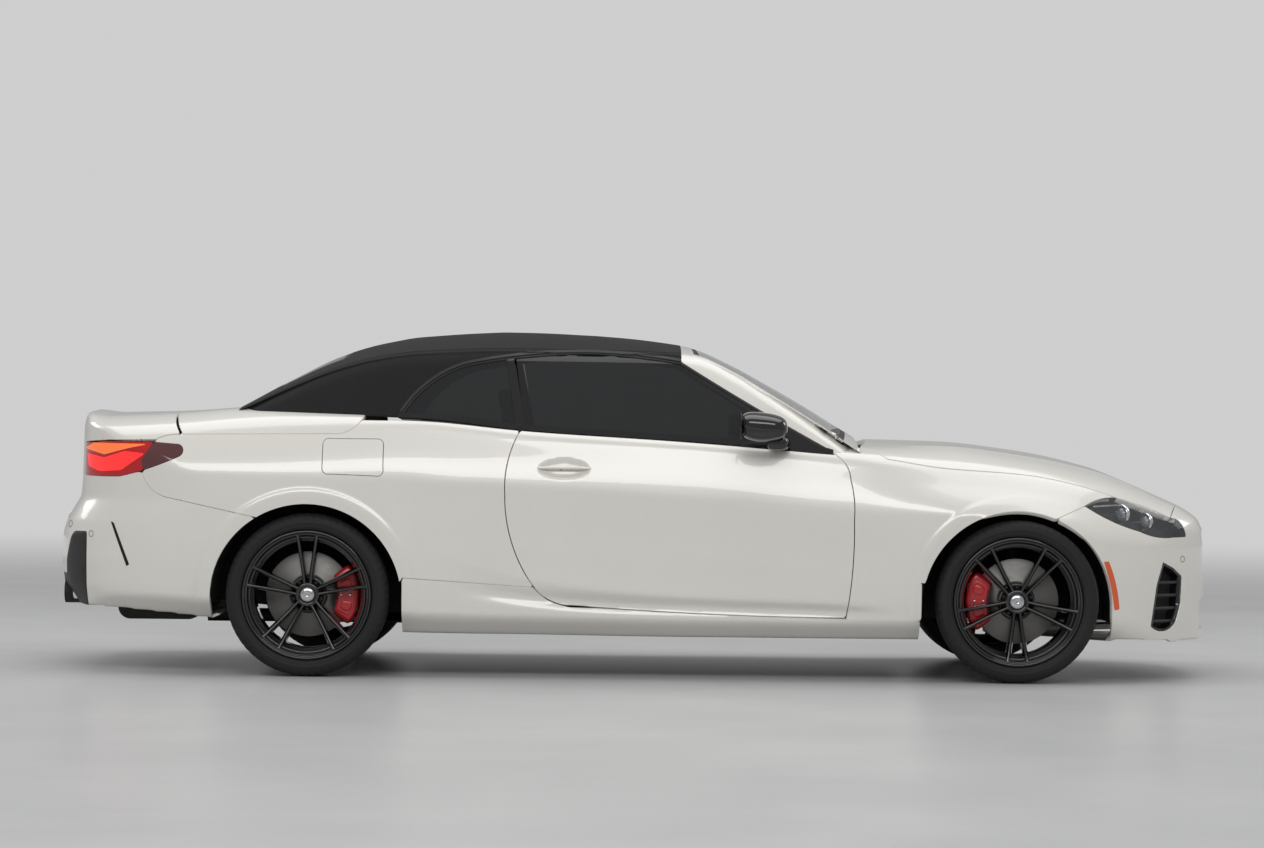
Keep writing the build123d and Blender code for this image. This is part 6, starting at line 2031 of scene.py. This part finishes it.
# ------------------------------------------------------------------ mirrors, handles and other trim
@dataclass
class OutsideTrim:
    """Door mirrors, pull handles and the bumpers' sensor covers."""

    shop: Shop
    mirror_at: Triple = (508.0, -951.0, 1018.0)
    handle_x: Pair = (-392.0, -182.0)
    handle_z: float = 843.0

    def build(self) -> None:
        """Makes them on both doors."""
        self.mirrors()
        self.handles()
        self.covers()

    def mirrors(self) -> None:
        """Each mirror: a bluff shell, cut flat behind for its glass, over a blade-like foot."""
        a, b, c = superellipsoid(3.1, 40)
        cx, cy, cz = self.mirror_at
        grow = 1 - 0.16 * ease(a, -0.3, 1.0) - 0.10 * ease(-b, 0.0, 1.0)
        x = cx + 96 * np.maximum(a, -0.93) - 4 * c
        y = cy + 85 * b
        z = cz + 60 * c * grow - 6 * ease(-b, 0, 1) + 5 * ease(-a, 0, 1)
        shell = gridded(x, y, z, wrap_v=True, flip=True)
        foot_a, foot_b, foot_c = superellipsoid(3.4, 22)
        foot = gridded(
            574 + 44 * foot_a + 12 * foot_b,
            -872 + 62 * foot_b,
            952 + 24 * foot_c * (1 - 0.25 * foot_b),
            wrap_v=True,
            flip=True,
        )
        self.shop.pair(
            "mirror_shell", joined(shell, foot), Look.GLOSS, DOORS, both_sides("mirror"), "black_gloss"
        )
        rim = rounded_loop(74, 49, 30, 72)
        ring = np.stack([np.full(len(rim), cx - 90.0), cy + rim[:, 0] - 1, cz + 3 + rim[:, 1]], 1)
        self.shop.pair("mirror_gasket", tube(ring, 3.0, 8, closed=True), Look.SEAL_AND_SHADE, DOORS)
        scale = np.array([0.0, 0.4, 0.8, 0.97])[:, None]
        gx = np.full((4, len(rim)), cx - 89.6) + 2.4 * (1 - scale**2)
        glass = gridded(gx, cy - 1 + scale * rim[:, 0], cz + 3 + scale * rim[:, 1], wrap_v=True)
        self.shop.pair("mirror_glass", glass, Look.MIRROR, DOORS)

    def handles(self) -> None:
        """Each handle: a bar whose section swells at the middle and sinks into the skin at its ends, over a
        small dark disc of painted shade in the hollow behind it.
        """
        x0, x1 = self.handle_x
        x = np.linspace(x0, x1, 60)
        t = (x - x0) / (x1 - x0)
        z = self.handle_z + 4 - 7 * (t - 0.5) ** 2
        out = 17 * (1 - np.abs(2 * t - 1) ** 5)
        path = side_skin(x, z)
        path[:, 1] -= out - 3
        size = 12.5 - 5 * np.abs(2 * t - 1) ** 3
        self.shop.pair("door_handle", tube(path, size, 18, flat=0.62), Look.PAINT, DOORS)
        # painted shade: a dark disc on the skin at the bottom of the handle's dish, behind the bar, where the
        # hollow lies in shadow
        spot = lambda p: np.hypot(p[:, 0] + 300, p[:, 2] - self.handle_z) - 7
        hollow_shade = Lamps.patch_on(Rays.SECTION, spot, (-310, -290), (15, 40), (1.2, 0.2), 0.4)
        self.shop.pair("handle_painted_shade", hollow_shade, Look.SEAL_AND_SHADE, DOORS)

    def covers(self) -> None:
        """Round sensor covers on the bumpers, as fine rings in the skin."""
        a = np.linspace(0, 2 * math.pi, 48, endpoint=False)
        rings = []
        for x, z, radius in ((-2300.0, 596.0, 13.0), (2232.0, 498.0, 12.0), (-2196.0, 560.0, 12.0)):
            ring = side_skin(x + radius * 0.8 * np.cos(a), z + radius * np.sin(a))
            rings.append(tube(ring, 1.1, 6, closed=True))
        self.shop.pair("sensor_rings", joined(*rings), Look.PLASTIC)


def rounded_loop(half_w: float, half_h: float, radius: float, count: int) -> Array:
    """Points round a rectangle with round corners, centred on zero."""
    a = np.linspace(0, 2 * math.pi, count, endpoint=False)
    c, s = np.cos(a), np.sin(a)
    power = 2.0 / max(2.0, min(half_w, half_h) / radius * 2.4)
    return np.stack([half_w * np.sign(c) * np.abs(c) ** power, half_h * np.sign(s) * np.abs(s) ** power], 1)


# ------------------------------------------------------------------ cabin
@dataclass
class Cabin:
    """Padded seats, their runners, and the finishes of the dashboard and the steering wheel."""

    shop: Shop
    seat_y: float = 370.0
    tilt: float = 0.26
    fill: float = 0.75

    def build(self) -> None:
        """Makes the seats and dresses the rest of the cabin."""
        for side in (Side.RIGHT, Side.LEFT):
            self.front_seat(side)
        self.rear_seats()
        self.runners()
        self.shop.dress("dashboard", Look.TRIM)
        self.shop.dress("steering_wheel", Look.LEATHER)

    @staticmethod
    def pad(
        centre: Sequence[float], half: Sequence[float], lean: float, bolster: float, channels: int, up: bool
    ) -> Patch:
        """A cushion: a soft box, crowned, with raised side rolls and sewn channels across.

        Its face is raised by bolster times |y/b|^4 and lowered by a narrow dip at each channel line.
        up sets the face on the top; otherwise it is on the front.
        """
        a, b, c = superellipsoid(4.2, 44)
        along, face = (a, c) if up else (c, a)
        lift = ease(face, 0.1, 0.9)
        lines = np.linspace(-0.62, 0.62, channels)
        dip = sum(np.exp(-(((along - line) / 0.035) ** 2)) for line in lines) * (np.abs(b) < 0.72)
        side_seam = np.exp(-(((np.abs(b) - 0.74) / 0.03) ** 2))
        rise = lift * (
            bolster * np.abs(b) ** 4 - 5.5 * dip - 6.0 * side_seam + 8 * (1 - along**2) * (1 - b**2)
        )
        x = half[0] * a * (1 - 0.05 * (1 - b**2) * (np.abs(c) < 0.5)) + (0 if up else rise)
        z = half[2] * c + (rise if up else 0)
        x, z = x * math.cos(lean) - z * math.sin(lean), x * math.sin(lean) + z * math.cos(lean)
        return gridded(centre[0] + x, centre[1] + half[1] * b, centre[2] + z, wrap_v=True, flip=True)

    def padded(self, name: str, patch: Patch, replaces: Sequence[str] = ()) -> None:
        obj = self.shop.put(name, patch, Look.LEATHER, "body", replaces, "seat_leather")

    def front_seat(self, side: Side) -> None:
        """One front seat's cushion, backrest and head restraint."""
        y, name = self.seat_y * side.value, side.name.lower()
        cushion = self.pad((-40, y, 372), (262, 232, 68), 0.06, 26, 4, True)
        self.padded(f"seat_cushion_{name}", cushion, ("front_seats",) if side is Side.RIGHT else ())
        back = self.pad((-400, y, 680), (56, 228, 300), self.tilt, 22, 5, False)
        self.padded(f"seat_back_{name}", back)
        head = self.pad((-522, y, 1088), (40, 124, 74), self.tilt * 0.7, 6, 2, False)
        self.padded(f"head_restraint_{name}", head)
        rods = [
            tube(np.array([[-478, y + s, 950], [-495, y + s, 985], [-512, y + s, 1040]], float), 6, 10)
            for s in (-55, 55)
        ]
        self.shop.put(f"restraint_rods_{name}", joined(*rods), Look.STEEL)

    def rear_seats(self) -> None:
        """The bench's two cushions and two backs."""
        for side in (Side.RIGHT, Side.LEFT):
            y, name = 222 * side.value, side.name.lower()
            cushion = self.pad((-900, y, 405), (222, 214, 66), 0.05, 16, 4, True)
            self.padded(f"rear_cushion_{name}", cushion, ("rear_seat",) if side is Side.RIGHT else ())
            back = self.pad((-1085, y, 700), (62, 214, 242), 0.10, 16, 4, False)
            self.padded(f"rear_back_{name}", back)

    def runners(self) -> None:
        """The steel rails and shells that carry the front seats."""
        rails = [pillow_box((-60, y, 236), (280, 20, 26), 9, 12) for y in (-570, -170, 170, 570)]
        shells = [pillow_box((-60, y, 290), (230, 205, 40), 7, 16) for y in (-self.seat_y, self.seat_y)]
        self.shop.put("seat_rails", joined(*rails, *shells), Look.PLASTIC)


# ------------------------------------------------------------------ chassis
@dataclass
class Chassis:
    """The structure and running gear keep their CAD shapes and get their finishes."""

    shop: Shop

    def build(self) -> None:
        """Dresses the CAD nodes that stay."""
        self.shop.dress("body_tub", Look.DARK)
        self.shop.dress("engine", Look.ALLOY)
        for node in ("front_axle", "rear_axle", *both_sides("knuckle"), "exhaust"):
            self.shop.dress(node, Look.CAST)


# ------------------------------------------------------------------ studio
@dataclass
class Studio:
    """Floor, backdrop, lamps and the camera."""

    lens: float = 114.5
    eye: Triple = (-0.017, -17.0, 1.025)
    roll: float = -0.0104

    def build(self) -> None:
        """Makes them all."""
        self.camera()
        self.floor()
        self.lamps()

    def camera(self) -> None:
        """The long-lens camera, level and square to the right side."""
        data = bpy.data.cameras.new("camera")
        data.lens, data.sensor_width = self.lens, 36.0
        data.clip_end = 200.0
        camera = bpy.data.objects.new("camera", data)
        bpy.context.scene.collection.objects.link(camera)
        camera.location = self.eye
        camera.rotation_euler = Euler((math.radians(90), self.roll, 0.0), "XYZ")
        bpy.context.scene.camera = camera

    def floor(self) -> None:
        """A pale floor that runs on to the horizon, and a world that shows as the pale backdrop."""
        x, y = np.meshgrid(np.linspace(-60000, 60000, 3), np.linspace(-60000, 60000, 3), indexing="ij")
        patch = gridded(x, y, np.zeros_like(x) - 0.5)
        mat = bpy.data.materials.new("StudioFloor")
        mat.use_nodes = True
        tree = Tree(mat.node_tree)
        shader = tree.add("ShaderNodeBsdfPrincipled")
        place = tree.add("ShaderNodeTexCoord").outputs["Object"]
        cloud = tree.add(
            "ShaderNodeTexNoise", {"Vector": place, "Scale": 0.9, "Detail": 5.0, "Roughness": 0.6}
        )
        shade = tree.ramp(cloud.outputs["Fac"], [(0.3, (0.52, 0.525, 0.53)), (0.7, (0.60, 0.60, 0.60))])
        tree.put(shader.inputs["Base Color"], shade)
        shader.inputs["Roughness"].default_value = 0.32
        shader.inputs["Specular IOR Level"].default_value = 0.35
        away = tree.add("ShaderNodeVectorMath", {0: place}, operation="LENGTH").outputs["Value"]
        far = tree.add(
            "ShaderNodeMapRange",
            {"Value": away, "From Min": 4.5, "From Max": 21.0},
            interpolation_type="SMOOTHSTEP",
        )
        glow = tree.add("ShaderNodeEmission", {"Color": (0.62, 0.62, 0.62, 1), "Strength": 1.0})
        blend = tree.add(
            "ShaderNodeMixShader", {0: far.outputs[0], 1: shader.outputs["BSDF"], 2: glow.outputs[0]}
        )
        tree.add("ShaderNodeOutputMaterial", {"Surface": blend.outputs[0]})
        mesh_object("studio_floor", patch, mat)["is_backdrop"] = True

    def lamps(self) -> None:
        """Soft boxes over and beside the car, over a pale even world."""
        world = bpy.data.worlds.new("studio_world")
        bpy.context.scene.world = world
        world.use_nodes = True
        tree = Tree(world.node_tree)
        path = tree.add("ShaderNodeLightPath")
        seen = tree.maths("MAXIMUM", path.outputs["Is Camera Ray"], path.outputs["Is Transmission Ray"])
        colour = tree.mix(seen, (0.36, 0.36, 0.362, 1), (0.62, 0.62, 0.62, 1))
        back = tree.add("ShaderNodeBackground", {"Color": colour, "Strength": 1.0})
        tree.add("ShaderNodeOutputWorld", {"Surface": back.outputs["Background"]})
        for name, place, aim, size, energy in (
            ("top_box", (0, 0.4, 7.5), (0, 0, 0), (11.0, 6.0), 330.0),
            ("side_box", (-0.5, -10.0, 6.5), (0, 0, 0.6), (12.0, 3.0), 430.0),
            ("tail_box", (-7.5, 3.0, 4.5), (0, 0, 0.6), (3.0, 3.0), 90.0),
            ("nose_box", (7.5, 3.0, 4.5), (0, 0, 0.6), (3.0, 3.0), 90.0),
        ):
            light = bpy.data.lights.new(name, "AREA")
            light.shape, light.size, light.size_y, light.energy = "RECTANGLE", size[0], size[1], energy
            obj = bpy.data.objects.new(name, light)
            bpy.context.scene.collection.objects.link(obj)
            obj.location = place
            obj.rotation_euler = (Vector(aim) - Vector(place)).to_track_quat("-Z", "Y").to_euler()


def main() -> None:
    """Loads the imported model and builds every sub-assembly over it, then the studio."""
    logging.basicConfig(level=logging.INFO, format="%(name)s: %(message)s")
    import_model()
    cad_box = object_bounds()
    bpy.context.scene.view_settings.view_transform = "Standard"
    Studio().build()
    shop = Shop(Finishes())
    BodyPanels(shop).build()
    Glasshouse(shop).build()
    Lamps(shop).build()
    OutsideTrim(shop).build()
    Wheel(FRONT_X, FRONT_Y, FRONT_W, 270.0, "front").build(shop)
    Wheel(REAR_X, REAR_Y, REAR_W, 90.0, "rear").build(shop)
    Caliper(FRONT_X, FRONT_Y, -1, "front", both_sides("steering")).build(shop)
    Caliper(REAR_X, REAR_Y, 1, "rear", ("body", "body")).build(shop)
    Cabin(shop).build()
    Chassis(shop).build()
    LOG.info("new pieces hold %d triangles", shop.counted)
    boxes = (("cad", cad_box), ("visual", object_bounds()))
    sizes = {name: [list(map(float, corner)) for corner in box] for name, box in boxes}


if __name__ == "__main__":
    main()
